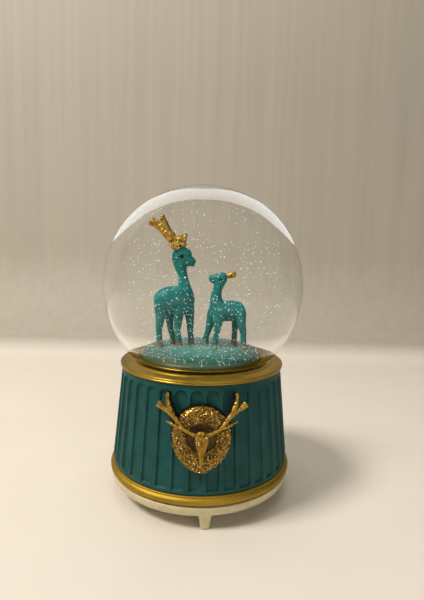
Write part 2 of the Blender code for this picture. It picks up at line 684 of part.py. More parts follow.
def medallion_wreath():
    """Ring of leaves, rounded in section, that follows the drum; its foot comes to a slight point."""
    shell = bmesh.new()
    around = 36
    base = GAP + PLATE_THICKNESS + GAP
    section = ((-1.0, 0.0), (-0.9, 0.55), (-0.45, 1.0), (0.35, 1.0), (0.9, 0.6), (1.0, 0.0))
    rings = []
    for step in range(around):
        angle = 2.0 * math.pi * step / around
        point = WREATH_POINT * max(0.0, -math.sin(angle)) ** 8
        ring = []
        for across, rise in section:
            reach = WREATH_RING + WREATH_HALF_WIDTH * across + (point if across > 0 else 0.0)
            x = reach * math.cos(angle)
            height = MEDALLION_HEIGHT + reach * math.sin(angle) * WREATH_STRETCH
            thick = base + (WREATH_THICKNESS - 0.25 * (step % 2)) * rise
            ring.append(shell.verts.new(drum_spot(x, height, thick)))
        rings.append(ring)
    for first, second in zip(rings, rings[1:] + rings[:1]):
        for corner in range(len(section)):
            after = (corner + 1) % len(section)
            shell.faces.new((first[corner], first[after], second[after], second[corner]))
    add_part("medallion_wreath", shell, "gold")


def loft_upright(sections, sides):
    """Skin level oval sections given as (centre, half width along X, half depth along Y)."""
    shell = bmesh.new()
    rings = []
    for centre, wide, deep in sections:
        ring = []
        for x, y in circle(1.0, sides):
            ring.append(shell.verts.new((centre[0] + wide * x, centre[1] + deep * y, centre[2])))
        rings.append(ring)
    for first, second in zip(rings, rings[1:]):
        for side in range(sides):
            after = (side + 1) % sides
            shell.faces.new((first[side], first[after], second[after], second[side]))
    shell.faces.new(rings[0])
    shell.faces.new(rings[-1])
    bmesh.ops.recalc_face_normals(shell, faces=shell.faces)
    return shell


def trophy_head():
    """Deer head that hangs over the wreath, widest between the antlers."""
    sections = []
    for height, half, deep in TROPHY_HEAD:
        y = -(drum_radius(height) + medallion_front() + GAP + deep)
        sections.append(((TROPHY_X, y, height), half, deep))
    add_part("trophy_head", loft_upright(sections, 12), "gold")


def trophy_antler(name, side):
    """Beam over the wreath, with an upper branch that forks into a tine and a broad end."""
    shells = []
    for rows in (TROPHY_BEAM, TROPHY_RISER, TROPHY_END):
        sections = []
        for x, height, radius, sink in rows:
            spot = drum_spot(TROPHY_X + side * x, height, medallion_front() + GAP + 1.0 - sink)
            sections.append((tuple(spot), radius, radius))
        shells.append(loft(sections, 8))
    add_part(name, unite(shells), "gold")


# ---------------------------------------------------------------- wind-up movement

def bedplate():
    half_x, half_y = BEDPLATE_HALF
    corner = 3.0
    outline = [(half_x, -half_y + corner), (half_x, half_y - corner), (half_x - corner, half_y)]
    outline += [(-half_x + corner, half_y), (-half_x, half_y - corner), (-half_x, -half_y + corner)]
    outline += [(-half_x + corner, -half_y), (half_x - corner, -half_y)]
    plate = prism(outline, BEDPLATE_BOTTOM, BEDPLATE_TOP)
    seat = box((CYLINDER_START + 0.2, -16.2, BEDPLATE_TOP - 1.0), (20.4, -12.4, comb_low() - GAP))
    holes = [rod(WINDING_RADIUS + 0.6, 14.0, 20.0, (BARREL_X, 0.0), 16)]
    holes += [rod(SHANK_RADIUS + GAP, 14.0, 20.0, spot, 12) for spot in MOVEMENT_SCREWS]
    holes += [rod(SMALL_SHANK + GAP, 24.0, 32.0, spot, 10) for spot in comb_screw_spots()]
    holes += [rod(SMALL_SHANK + GAP, 14.0, 20.0, spot, 10) for spot in BRACKET_SCREWS]
    add_part("movement_bedplate", cut(unite([plate, seat]), holes), "zinc", smooth=False)


def spring_barrel():
    inside = BARREL_RADIUS - BARREL_SKIN
    floor = BARREL_BOTTOM + BARREL_SKIN
    profile = [(BARREL_BORE, BARREL_BOTTOM), (BARREL_RADIUS, BARREL_BOTTOM), (BARREL_RADIUS, BARREL_TOP)]
    profile += [(inside, BARREL_TOP), (inside, floor), (BARREL_BORE, floor)]
    add_part("spring_barrel", lathe(profile, 28), "brass", (BARREL_X, 0.0, 0.0))


def great_wheel():
    low = BARREL_TOP + GAP
    disc_top = 25.9
    tooth_top = 27.6
    shell = lathe([(2.4, low), (13.1, low), (13.1, disc_top), (2.4, disc_top)], 24)
    pitch = 2.0 * math.pi * CROWN_PITCH_RADIUS / CROWN_TEETH
    for angle in spaced_angles(CROWN_TEETH, math.pi / CROWN_TEETH):
        tooth = box((11.2, -0.16 * pitch, disc_top - 0.4), (13.0, 0.16 * pitch, tooth_top))
        for corner in tooth.verts:
            if corner.co.z > disc_top:
                corner.co.y *= 0.6
        shell = boolean(shell, moved(tooth, Matrix.Rotation(angle, 4, "Z")), "UNION")
    add_part("great_wheel", shell, "brass", (BARREL_X, 0.0, 0.0), smooth=False)


def mainspring():
    """Flat spiral strip between the arbor and the barrel wall."""
    turns = 4
    steps = 12 * turns
    inner, outer, thick = 3.2, 10.2, 0.55
    low, high = BARREL_BOTTOM + 1.2, BARREL_TOP - 0.4
    outside = []
    inside = []
    for step in range(steps + 1):
        angle = 2.0 * math.pi * turns * step / steps
        radius = inner + (outer - inner) * step / steps
        outside.append(((radius + thick) * math.cos(angle), (radius + thick) * math.sin(angle)))
        inside.append((radius * math.cos(angle), radius * math.sin(angle)))
    shell = bmesh.new()
    rings = []
    for (inner_x, inner_y), (outer_x, outer_y) in zip(inside, outside):
        ring = [shell.verts.new((x, y, low)) for x, y in ((inner_x, inner_y), (outer_x, outer_y))]
        ring += [shell.verts.new((x, y, high)) for x, y in ((outer_x, outer_y), (inner_x, inner_y))]
        rings.append(ring)
    for first, second in zip(rings, rings[1:]):
        for corner in range(4):
            after = (corner + 1) % 4
            shell.faces.new((first[corner], first[after], second[after], second[corner]))
    shell.faces.new(rings[0])
    shell.faces.new(rings[-1])
    add_part("mainspring", shell, "steel", (BARREL_X, 0.0, 0.0))


def winding_arbor():
    low, high = BEDPLATE_TOP + 0.6, BARREL_TOP - 0.4
    profile = [(0.0, WINDING_BOTTOM), (WINDING_RADIUS, WINDING_BOTTOM), (WINDING_RADIUS, low)]
    profile += [(SHOULDER_RADIUS, low), (SHOULDER_RADIUS, high), (WINDING_RADIUS, high)]
    profile += [(WINDING_RADIUS, WINDING_TOP), (0.0, WINDING_TOP)]
    add_part("winding_arbor", lathe(profile, 16), "steel", (BARREL_X, 0.0, 0.0))


def winding_key():
    """Two-winged key on a round hub, threaded on the arbor from below."""
    hub = rod(KEY_HUB_RADIUS, KEY_BOTTOM, KEY_TOP, sides=20)
    outline = []
    for side in (1, -1):
        for step in range(9):
            turn = math.radians(-100 + 25 * step)
            rise = 4.4 * math.sin(turn) * side
            outline.append((side * (6.6 + 3.6 * math.cos(turn)), KEY_WING_HEIGHT + rise))
    half = 0.5 * KEY_WING_THICKNESS
    wings = moved(prism(outline, -half, half), Matrix.Rotation(math.radians(90), 4, "X"))
    bore = rod(WINDING_RADIUS + GAP, WINDING_BOTTOM - 0.4, KEY_TOP + 1.6, sides=16)
    add_part("winding_key", cut(unite([hub, wings]), [bore]), "steel", (BARREL_X, 0.0, 0.0))


def barrel_bridge():
    """Bridge over the barrel with the cylinder's left bearing on it."""
    span = box((BRIDGE_LEFT, -BRIDGE_HALF_Y, BRIDGE_BOTTOM), (BRIDGE_RIGHT, BRIDGE_HALF_Y, BRIDGE_TOP))
    shells = [span]
    for side in (-1, 1):
        near, far = sorted((side * BRIDGE_HALF_Y, side * (BRIDGE_HALF_Y - 1.8)))
        shells.append(box((BRIDGE_LEFT, near, BEDPLATE_TOP + GAP), (BRIDGE_RIGHT, far, BRIDGE_TOP - 0.5)))
    shells.append(box((BRIDGE_RIGHT - 2.8, -2.6, BRIDGE_TOP - 0.5), (BRIDGE_RIGHT, 2.6, TRAIN_HEIGHT + 2.8)))
    shell = unite(shells)
    holes = [rod(WINDING_RADIUS + GAP, 26.0, 32.0, (BARREL_X, 0.0), 16)]
    bore = along_x(rod(1.3, -9.0, -3.0, sides=12))
    holes.append(moved(bore, Matrix.Translation((0.0, 0.0, TRAIN_HEIGHT))))
    add_part("barrel_bridge", cut(shell, holes), "zinc", smooth=False)


def pinned_cylinder():
    """Brass sleeve with a tune pin for each note."""
    start, end = CYLINDER_START, CYLINDER_START + CYLINDER_LENGTH
    shell = rod(CYLINDER_RADIUS, start, end, sides=32)
    for note in range(NOTES):
        along = start + (note + 0.5) * CYLINDER_LENGTH / NOTES
        angle = GOLDEN_ANGLE * (note + 0.3)
        pin = box((CYLINDER_RADIUS - 0.6, -0.2, along - 0.2), (PIN_REACH, 0.2, along + 0.2))
        shell = boolean(shell, moved(pin, Matrix.Rotation(angle, 4, "Z")), "UNION")
    shell = cut(shell, [rod(ARBOR_RADIUS + GAP, start - 1.0, end + 1.0, sides=12)])
    add_train_part("pinned_cylinder", shell, "brass", 0.0)


def add_train_part(name, shell, finish, y):
    """Lay a shell made along Z on an axis along X at the height of the gear train."""
    add_part(name, along_x(shell), finish, (0.0, y, TRAIN_HEIGHT), smooth=False)


def cylinder_arbor():
    """Shaft of the cylinder with the pinion that the great wheel drives."""
    shaft = rod(ARBOR_RADIUS, -7.4, 27.9, sides=12)
    outline = gear_outline(PINION_TEETH, 3.3, 4.7, 0.42, 0.18)
    add_train_part("cylinder_arbor", unite([prism(outline, -0.7, 0.9), shaft]), "steel", 0.0)


def spur_wheel(name, teeth, module, start, y, finish, phase, bore):
    """Flat gear wheel with a bore, on an axis along X."""
    pitch_radius = 0.5 * module * teeth
    root = pitch_radius - 1.1 * module
    tip = pitch_radius + 0.85 * module
    outline = gear_outline(teeth, root, tip, 0.5, 0.22, phase)
    shell = cut(prism(outline, start, start + 1.2), [rod(bore, start - 1.0, start + 3.0, sides=12)])
    add_train_part(name, shell, finish, y)


def governor_arbor():
    """Thin shaft with the small pinion that the cylinder wheel drives."""
    pitch_radius = 0.5 * WHEEL_MODULE * GOVERNOR_PINION_TEETH
    half_tooth = math.pi / GOVERNOR_PINION_TEETH
    outline = gear_outline(GOVERNOR_PINION_TEETH, pitch_radius - 0.55, pitch_radius + 0.4, 0.42, 0.2,
                           -math.pi / 2 + half_tooth)
    shaft = rod(GOVERNOR_SHAFT, 18.0, 27.8, sides=10)
    shell = unite([prism(outline, WHEEL_START - 0.2, WHEEL_START + 1.4), shaft])
    add_train_part("governor_arbor", shell, "steel", GOVERNOR_Y)


def fly_worm():
    """Upright shaft with a two-start worm beside the governor wheel."""
    steps, sides = 20, 8
    low, high = 27.8, 34.2
    turns = (high - low) / (WORM_STARTS * math.pi * WORM_MODULE)
    worm = bmesh.new()
    rings = []
    for step in range(steps + 1):
        twist = 2.0 * math.pi * turns * step / steps
        ring = []
        for x, y in circle(1.0, sides):
            spot = Matrix.Rotation(twist, 3, "Z") @ Vector((1.2 * x, 0.8 * y, 0.0))
            ring.append(worm.verts.new((spot.x, spot.y, low + (high - low) * step / steps)))
        rings.append(ring)
    for first, second in zip(rings, rings[1:]):
        for side in range(sides):
            after = (side + 1) % sides
            worm.faces.new((first[side], first[after], second[after], second[side]))
    worm.faces.new(rings[0])
    worm.faces.new(rings[-1])
    bmesh.ops.recalc_face_normals(worm, faces=worm.faces)
    shaft = rod(FLY_SHAFT, BEDPLATE_TOP + GAP, FLY_TOP, sides=8)
    add_part("fly_worm", unite([worm, shaft]), "steel", (FLY_X, FLY_Y, 0.0), smooth=False)


def air_brake():
    """Two flat wings on a hub that spin to hold the speed down."""
    hub = rod(1.4, 36.6, 41.4, sides=12)
    wings = box((-3.8, -0.3, 37.0), (3.8, 0.3, 41.0))
    bore = rod(FLY_SHAFT + GAP, 36.0, 42.0, sides=8)
    add_part("air_brake", cut(unite([hub, wings]), [bore]), "nylon", (FLY_X, FLY_Y, 0.0), smooth=False)


def comb_low():
    """Height of the underside of the comb."""
    return TRAIN_HEIGHT - 0.4


def comb_screw_spots():
    middle = CYLINDER_START + 0.5 * CYLINDER_LENGTH
    return [(middle - 5.0, COMB_SCREW_Y), (middle + 5.0, COMB_SCREW_Y)]


def tuned_comb():
    """Steel comb with one tooth for each note."""
    start, end = CYLINDER_START, CYLINDER_START + CYLINDER_LENGTH
    pitch = CYLINDER_LENGTH / NOTES
    root = -12.0
    outline = [(start, -16.4), (end, -16.4), (end, root)]
    for note in reversed(range(NOTES)):
        middle = start + (note + 0.5) * pitch
        outline += [(middle + 0.3, root), (middle + 0.2, -COMB_TIP)]
        outline += [(middle - 0.2, -COMB_TIP), (middle - 0.3, root)]
    outline.append((start, root))
    shell = prism(outline, comb_low(), comb_low() + 0.8)
    holes = [rod(SMALL_SHANK + GAP, 28.0, 34.0, spot, 10) for spot in comb_screw_spots()]
    add_part("tuned_comb", cut(shell, holes), "steel", smooth=False)


def governor_bracket():
    """Upright plate and top arm that carry the right-hand ends of the train."""
    foot_low = BEDPLATE_TOP + GAP
    plate = box((26.5, -5.0, foot_low), (28.3, 10.3, 43.6))
    foot = box((22.8, -5.0, foot_low), (27.0, 8.0, foot_low + 1.5))
    arm = box((17.6, 7.4, 42.0), (28.3, 17.2, 43.6))
    cheek = box((17.6, 7.4, 28.8), (19.2, 10.4, 42.5))
    shell = unite([plate, foot, arm, cheek])
    holes = [rod(SMALL_SHANK + GAP, 17.0, 21.0, spot, 10) for spot in BRACKET_SCREWS]
    holes.append(rod(FLY_SHAFT + GAP, 41.0, 45.0, (FLY_X, FLY_Y), 10))
    for radius, y in ((ARBOR_RADIUS + GAP, 0.0), (GOVERNOR_SHAFT + GAP, GOVERNOR_Y)):
        bore = along_x(rod(radius, 15.0, 30.0, sides=12))
        holes.append(moved(bore, Matrix.Translation((0.0, y, TRAIN_HEIGHT))))
    add_part("governor_bracket", cut(shell, holes), "zinc", smooth=False)


def small_screws():
    comb_head = comb_low() + 0.8 + GAP + HEAD_HEIGHT
    for index, spot in enumerate(comb_screw_spots()):
        slotted_screw("comb_screw_%d" % (index + 1), spot, comb_head, 25.0, SMALL_HEAD, SMALL_SHANK)
    bracket_head = BEDPLATE_TOP + GAP + 1.5 + GAP + HEAD_HEIGHT
    for index, spot in enumerate(BRACKET_SCREWS):
        slotted_screw("bracket_screw_%d" % (index + 1), spot, bracket_head, 16.2, SMALL_HEAD, SMALL_SHANK)


def movement():
    bedplate()
    spring_barrel()
    great_wheel()
    mainspring()
    winding_arbor()
    winding_key()
    barrel_bridge()
    cylinder_arbor()
    pinned_cylinder()
    spur_wheel("cylinder_wheel", WHEEL_TEETH, WHEEL_MODULE, WHEEL_START, 0.0, "brass",
               math.pi / 2, ARBOR_RADIUS + GAP)
    governor_arbor()
    spur_wheel("governor_wheel", WORM_WHEEL_TEETH, WORM_MODULE, 23.6, GOVERNOR_Y, "nylon",
               0.0, GOVERNOR_SHAFT + GAP)
    fly_worm()
    air_brake()
    tuned_comb()
    governor_bracket()
    small_screws()


def main():
    clear_scene()
    glass_globe()
    sealing_bung()
    filler_plug()
    deer_mound()
    deer("stag", STAG_BODY, STAG_NECK, STAG_HEAD, STAG_LEGS, STAG_DEPTH)
    deer("fawn", FAWN_BODY, FAWN_NECK, FAWN_HEAD, FAWN_LEGS, FAWN_DEPTH)
    stag_crown()
    fawn_horn()
    collar_ring()
    base_shell()
    lower_band()
    bottom_tray()
    tray_fasteners()
    medallion_plate()
    medallion_wreath()
    trophy_head()
    trophy_antler("trophy_antler_left", -1)
    trophy_antler("trophy_antler_right", 1)
    movement()


main()
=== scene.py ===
"""Looks of a musical snow globe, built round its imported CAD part.

Lengths are millimetres until a mesh is made, +Z is up and the front faces -Y.
"""

import math
import random

import bmesh
import bpy
from mathutils import Matrix, Vector, noise


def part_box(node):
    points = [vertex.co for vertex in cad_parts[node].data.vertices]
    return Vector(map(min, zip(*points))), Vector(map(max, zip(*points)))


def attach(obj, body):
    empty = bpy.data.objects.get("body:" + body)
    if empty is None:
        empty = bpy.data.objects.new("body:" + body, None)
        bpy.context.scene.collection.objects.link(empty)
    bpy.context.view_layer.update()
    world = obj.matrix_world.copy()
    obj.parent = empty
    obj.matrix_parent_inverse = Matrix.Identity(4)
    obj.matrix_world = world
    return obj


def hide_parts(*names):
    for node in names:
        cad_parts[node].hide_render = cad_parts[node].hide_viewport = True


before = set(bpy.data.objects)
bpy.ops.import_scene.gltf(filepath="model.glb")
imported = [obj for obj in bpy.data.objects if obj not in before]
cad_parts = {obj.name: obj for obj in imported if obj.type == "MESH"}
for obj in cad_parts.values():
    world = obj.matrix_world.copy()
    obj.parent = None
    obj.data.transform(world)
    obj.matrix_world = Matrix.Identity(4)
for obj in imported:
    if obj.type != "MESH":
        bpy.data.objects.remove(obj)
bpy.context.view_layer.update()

MM = 0.001
BASE = "globe_and_base"
CAP_BEND, CAP_STEPS = 80.0, 4
THINNEST = 0.05


def extent(node):
    """Lowest and highest corner of a CAD node, in millimetres."""
    low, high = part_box(node)
    return low / MM, high / MM


# ---------------------------------------------------------------- mesh tools

def skin(rings, loop=False):
    """Closed shell over rings of equal length; without loop both ends are capped."""
    shell = bmesh.new()
    made = [[shell.verts.new(spot) for spot in ring] for ring in rings]
    count = len(made[0])
    pairs = list(zip(made, made[1:]))
    if loop:
        pairs.append((made[-1], made[0]))
    for first, second in pairs:
        for side in range(count):
            after = (side + 1) % count
            shell.faces.new((first[side], first[after], second[after], second[side]))
    if not loop:
        for ring in (made[0], made[-1]):
            hub = shell.verts.new(sum((corner.co for corner in ring), Vector()) / count)
            for side in range(count):
                shell.faces.new((ring[side], ring[(side + 1) % count], hub))
    bmesh.ops.recalc_face_normals(shell, faces=shell.faces)
    return shell


def rounded(points, spacing=1.0, closed=True, arc=5):
    """Outline of (radius, height, corner) points with its corners eased and its straights divided."""
    count = len(points)
    corners = []
    for index, (x, z, ease) in enumerate(points):
        here = Vector((x, z))
        if ease <= 0.0 or (not closed and index in (0, count - 1)):
            corners.append([here])
            continue
        before = Vector(points[index - 1][:2]) - here
        after = Vector(points[(index + 1) % count][:2]) - here
        start = here + before.normalized() * ease
        end = here + after.normalized() * ease
        shares = [step / arc for step in range(arc + 1)]
        corners.append([start.lerp(here, share).lerp(here.lerp(end, share), share) for share in shares])
    outline = []
    for index, bend in enumerate(corners):
        outline += bend
        if index == count - 1 and not closed:
            break
        target = corners[(index + 1) % count][0]
        gap = (target - bend[-1]).length
        pieces = max(1, round(gap / spacing))
        outline += [bend[-1].lerp(target, step / pieces) for step in range(1, pieces)]
    kept = [outline[0]]
    for spot in outline[1:]:
        if (spot - kept[-1]).length > 0.005:
            kept.append(spot)
    return kept


def turn_at(step, count):
    """Angle of one step round a circle."""
    return 2.0 * math.pi * step / count


def polar(reach, angle, height):
    return Vector((reach * math.cos(angle), reach * math.sin(angle), height))


def rings_of(rows, count, spot):
    """A ring of points for each row; spot(row, angle) gives each point."""
    return [[spot(row, turn_at(side, count)) for side in range(count)] for row in rows]


def turned(outline, steps, shape=None, loop=True):
    """Turn an outline about Z; shape(radius, height, angle) may move each point."""
    def spot(row, angle):
        reach, rise = shape(*row, angle) if shape else row
        return polar(reach, angle, rise)

    return skin(rings_of(outline, steps, spot), loop)


def eased_path(rows, per):
    """Catmull-Rom curve through rows of numbers."""
    padded = [[2 * a - b for a, b in zip(rows[0], rows[1])]] + [list(row) for row in rows]
    padded.append([2 * a - b for a, b in zip(rows[-1], rows[-2])])
    out = []
    for index in range(1, len(padded) - 2):
        p0, p1, p2, p3 = padded[index - 1:index + 3]
        for step in range(per):
            t = step / per
            out.append([
                0.5 * (2 * b + (c - a) * t + (2 * a - 5 * b + 4 * c - d) * t * t
                       + (3 * b - a - 3 * c + d) * t * t * t)
                for a, b, c, d in zip(p0, p1, p2, p3)
            ])
    out.append(padded[-2])
    return out


def tube(rows, sides=20, per=5, cap=0.6):
    """Round-ended tube through (x, y, z, half height, half width) rows; the width lies along Y."""
    path = eased_path(rows, per)
    spots = [Vector(row[:3]) for row in path]
    last = len(path) - 1
    bends = [math.radians(CAP_BEND * step / CAP_STEPS) for step in range(CAP_STEPS + 1)]
    rings = []
    for index, row in enumerate(path):
        along = (spots[min(index + 1, last)] - spots[max(index - 1, 0)]).normalized()
        across = (Vector((0.0, 1.0, 0.0)) - along.y * along).normalized()
        upward = along.cross(across)
        high, wide = max(row[3], THINNEST), max(row[4], THINNEST)
        bulge = cap * min(high, wide)
        turns = [-bend for bend in reversed(bends)] if index == 0 else bends if index == last else [0.0]
        for turn in turns:
            share = math.cos(turn)
            centre = spots[index] + along * (bulge * math.sin(turn))
            angles = [turn_at(side, sides) for side in range(sides)]
            rings.append([centre + upward * (high * share * math.cos(angle))
                          + across * (wide * share * math.sin(angle)) for angle in angles])
    return skin(rings)


def ball(centre, radii, rounds=3):
    """An ellipsoid."""
    shell = bmesh.new()
    bmesh.ops.create_icosphere(shell, subdivisions=rounds, radius=1.0)
    place = Matrix.Translation(centre) @ Matrix.Diagonal((*radii, 1.0))
    bmesh.ops.transform(shell, matrix=place, verts=shell.verts)
    return shell


def placed(name, shell):
    """Object made of a shell, in the scene."""
    mesh = bpy.data.meshes.new(name)
    shell.to_mesh(mesh)
    shell.free()
    made = bpy.data.objects.new(name, mesh)
    bpy.context.scene.collection.objects.link(made)
    return made


def open_sheet(rows):
    """Open grid of quads over rows of points."""
    sheet = bmesh.new()
    made = [[sheet.verts.new(spot) for spot in row] for row in rows]
    for first, second in zip(made, made[1:]):
        for index in range(len(first) - 1):
            sheet.faces.new((first[index], first[index + 1], second[index + 1], second[index]))
    return sheet


def gathered(shells):
    """Several shells in one."""
    whole = bmesh.new()
    for shell in shells:
        mesh = bpy.data.meshes.new("gathered")
        shell.to_mesh(mesh)
        shell.free()
        whole.from_mesh(mesh)
        bpy.data.meshes.remove(mesh)
    return whole


def worked(shell, kind, **settings):
    """Run one modifier over a shell."""
    holder = placed("worked", shell)
    modifier = holder.modifiers.new(kind, kind)
    for key, value in settings.items():
        setattr(modifier, key, value)
    result = bmesh.new()
    result.from_mesh(holder.evaluated_get(bpy.context.evaluated_depsgraph_get()).to_mesh())
    mesh = holder.data
    bpy.data.objects.remove(holder, do_unlink=True)
    bpy.data.meshes.remove(mesh)
    return result


def melted(shells, voxel, rounds=5):
    """Fuse overlapping shells into one smooth skin."""
    shell = worked(gathered(shells), "REMESH", mode="VOXEL", voxel_size=voxel)
    return worked(shell, "SMOOTH", factor=0.5, iterations=rounds)


def carved(shell, tools):
    """Take closed shells away."""
    for tool in tools:
        cutter = placed("tool", tool)
        shell = worked(shell, "BOOLEAN", operation="DIFFERENCE", solver="EXACT", object=cutter)
        bpy.data.objects.remove(cutter, do_unlink=True)
    return shell


def post(radius, low, high, centre, steps=48):
    """A plain round cutter on a vertical axis."""
    shell = turned([Vector((radius, low)), Vector((radius, high))], steps, loop=False)
    bmesh.ops.translate(shell, vec=(*centre, 0.0), verts=shell.verts)
    return shell


def add_piece(name, shell, look, nodes, sharp=None, body=BASE):
    """Make the finished object in metres, attach it to its body and hide the CAD nodes it stands for."""
    bmesh.ops.scale(shell, vec=(MM,) * 3, verts=shell.verts)
    made = placed(name, shell)
    made.data.shade_smooth()
    if sharp is not None:
        made.data.set_sharp_from_angle(angle=math.radians(sharp))
    made.data.materials.append(look)
    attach(made, body)
    if nodes:
        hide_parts(*nodes)
    return made


# ---------------------------------------------------------------- materials

class Look:
    """A Principled material with short ways to wire procedural detail into it."""

    def __init__(self, name, **values):
        self.material = bpy.data.materials.new(name)
        self.material.use_nodes = True
        self.tree = self.material.node_tree
        self.shader = self.tree.nodes["Principled BSDF"]
        self.spot = self.node("ShaderNodeTexCoord").outputs["Object"]
        self.height = None
        for key, value in values.items():
            self.shader.inputs[key.replace("_", " ")].default_value = value

    def node(self, kind, **settings):
        made = self.tree.nodes.new(kind)
        for key, value in settings.items():
            setattr(made, key, value)
        return made

    def link(self, source, target):
        self.tree.links.new(source, target)

    def feed(self, socket, source):
        self.link(source, self.shader.inputs[socket])

    def stretched(self, stretch):
        mapping = self.node("ShaderNodeMapping")
        mapping.inputs["Scale"].default_value = stretch
        self.link(self.spot, mapping.inputs["Vector"])
        return mapping.outputs["Vector"]

    def noise(self, size, detail=3.0, stretch=None, rough=0.55):
        made = self.node("ShaderNodeTexNoise")
        made.inputs["Scale"].default_value = 1.0 / (size * MM)
        made.inputs["Detail"].default_value = detail
        made.inputs["Roughness"].default_value = rough
        self.link(self.stretched(stretch) if stretch else self.spot, made.inputs["Vector"])
        return made.outputs["Fac"]

    def upright(self):
        """Height above the table, in metres."""
        parts = self.node("ShaderNodeSeparateXYZ")
        self.link(self.spot, parts.inputs["Vector"])
        return parts.outputs["Z"]

    def ramp(self, source, stops):
        made = self.node("ShaderNodeValToRGB")
        points = made.color_ramp.elements
        while len(points) < len(stops):
            points.new(0.5)
        for point, (place, colour) in zip(points, stops):
            point.position = place
            point.color = (*colour, 1.0)
        self.link(source, made.inputs["Fac"])
        return made.outputs["Color"]

    def span(self, source, low, high, start=0.3, end=0.7):
        made = self.node("ShaderNodeMapRange")
        for key, value in (("From Min", start), ("From Max", end), ("To Min", low), ("To Max", high)):
            made.inputs[key].default_value = value
        self.link(source, made.inputs["Value"])
        return made.outputs["Result"]

    def sum(self, first, second, operation="ADD"):
        made = self.node("ShaderNodeMath", operation=operation)
        for socket, value in zip(made.inputs, (first, second)):
            if isinstance(value, float):
                socket.default_value = value
            else:
                self.link(value, socket)
        return made.outputs["Value"]

    def blend(self, share, first, second, mode="MIX"):
        made = self.node("ShaderNodeMix", data_type="RGBA", blend_type=mode)
        if isinstance(share, float):
            made.inputs[0].default_value = share
        else:
            self.link(share, made.inputs[0])
        for socket, value in ((made.inputs[6], first), (made.inputs[7], second)):
            if isinstance(value, tuple):
                socket.default_value = (*value, 1.0)
            else:
                self.link(value, socket)
        return made.outputs[2]

    def bump(self, source, rise, strength=1.0):
        """Relief of the given height in millimetres."""
        made = self.node("ShaderNodeBump")
        made.inputs["Strength"].default_value = strength
        made.inputs["Distance"].default_value = rise * MM
        self.link(source, made.inputs["Height"])
        if self.height:
            self.link(self.height, made.inputs["Normal"])
        self.height = made.outputs["Normal"]
        self.feed("Normal", self.height)



def painted(name, dark, light, grain=6.0, rough=(0.35, 0.5), relief=((0.8, 0.015),), **values):
    """Brushed-on or moulded colour: slow tone changes, fine grain and uneven gloss."""
    look = Look(name, **values)
    slow = look.noise(grain, 4.0)
    colour = look.ramp(slow, ((0.3, dark), (0.7, light)))
    fine = look.ramp(look.noise(grain * 0.12, 2.0), ((0.3, (0.86,) * 3), (0.7, (1.0,) * 3)))
    look.colour = look.blend(1.0, colour, fine, "MULTIPLY")
    look.feed("Base Color", look.colour)
    look.feed("Roughness", look.span(look.noise(grain * 0.5, 3.0), *rough))
    for size, rise in relief:
        look.bump(look.noise(size, 3.0), rise)
    return look


def ground(name, dark, light, stretch=(1.0, 1.0, 0.06), rough=(0.22, 0.4), **values):
    """Machined or ground metal with fine lines along one way."""
    look = Look(name, Metallic=1.0, **values)
    lines = look.noise(0.6, 3.0, stretch)
    look.feed("Base Color", look.ramp(lines, ((0.25, dark), (0.75, light))))
    look.feed("Roughness", look.span(look.noise(3.0, 3.0), *rough))
    look.bump(lines, 0.008)
    return look


EVEN = ((0.37, 0.235, 0.026), (0.46, 0.30, 0.036))
# Painted shade: the brown that recesses are darkened to, and how far the occlusion looks for them.
RECESS_SHADE_BROWN = (0.035, 0.017, 0.004)
RECESS_SHADE_REACH = 1.2
# Painted glints: the span of fine noise where the pale tone is laid on as flecks.
GLINT_FLECKS = (0.64, 0.7)
FIGURE_DARK, FIGURE_LIGHT = (0.003, 0.125, 0.12), (0.009, 0.25, 0.24)


def gold_look(name, relief, rough, tones, grain, hollow=0.0, glint_tone=None):
    """Metallic gold paint; hollow is how far painted shade browns the recesses, and the last argument is the
    tone of painted glints laid on as flecks.
    """
    look = painted(name, *tones, grain, rough, relief, Metallic=0.9)
    # Painted highlight: flecks of near-white gold stand in for glints.
    if glint_tone:
        look.colour = look.blend(look.span(look.noise(0.5, 1.0), 0.0, 1.0, *GLINT_FLECKS), look.colour, glint_tone)
        look.feed("Base Color", look.colour)
    if hollow:
        # Painted shade: recesses found by ambient occlusion are darkened towards brown.
        shade = look.node("ShaderNodeAmbientOcclusion", samples=6)
        shade.inputs["Distance"].default_value = RECESS_SHADE_REACH * MM
        share = look.span(shade.outputs["AO"], hollow, 0.0, 0.3, 0.85)
        look.feed("Base Color", look.blend(share, look.colour, RECESS_SHADE_BROWN))
    return look.material


def glass_look():
    """Clear blown glass that lets lamps and bounced light through to what it holds."""
    look = Look("blown_glass", Transmission_Weight=1.0, IOR=1.45, Roughness=0.0,
                Specular_Tint=(0.2, 0.2, 0.2, 1.0))
    tint = look.ramp(look.noise(30.0, 2.0), ((0.3, (0.990, 0.997, 0.994)), (0.7, (0.996, 0.998, 0.996))))
    look.feed("Base Color", tint)
    look.bump(look.noise(26.0, 1.0), 0.02, 0.3)
    rays = look.node("ShaderNodeLightPath")
    through = look.sum(rays.outputs["Is Shadow Ray"], rays.outputs["Is Diffuse Ray"], "MAXIMUM")
    beyond = look.sum(rays.outputs["Transmission Depth"], 1.5, "GREATER_THAN")
    through = look.sum(through, beyond, "MAXIMUM")
    clear = look.node("ShaderNodeBsdfTransparent")
    clear.inputs["Color"].default_value = (0.995, 1.0, 0.998, 1.0)
    mix = look.node("ShaderNodeMixShader")
    look.link(through, mix.inputs[0])
    look.link(look.shader.outputs[0], mix.inputs[1])
    look.link(clear.outputs[0], mix.inputs[2])
    look.link(mix.outputs[0], look.tree.nodes["Material Output"].inputs["Surface"])
    return look.material


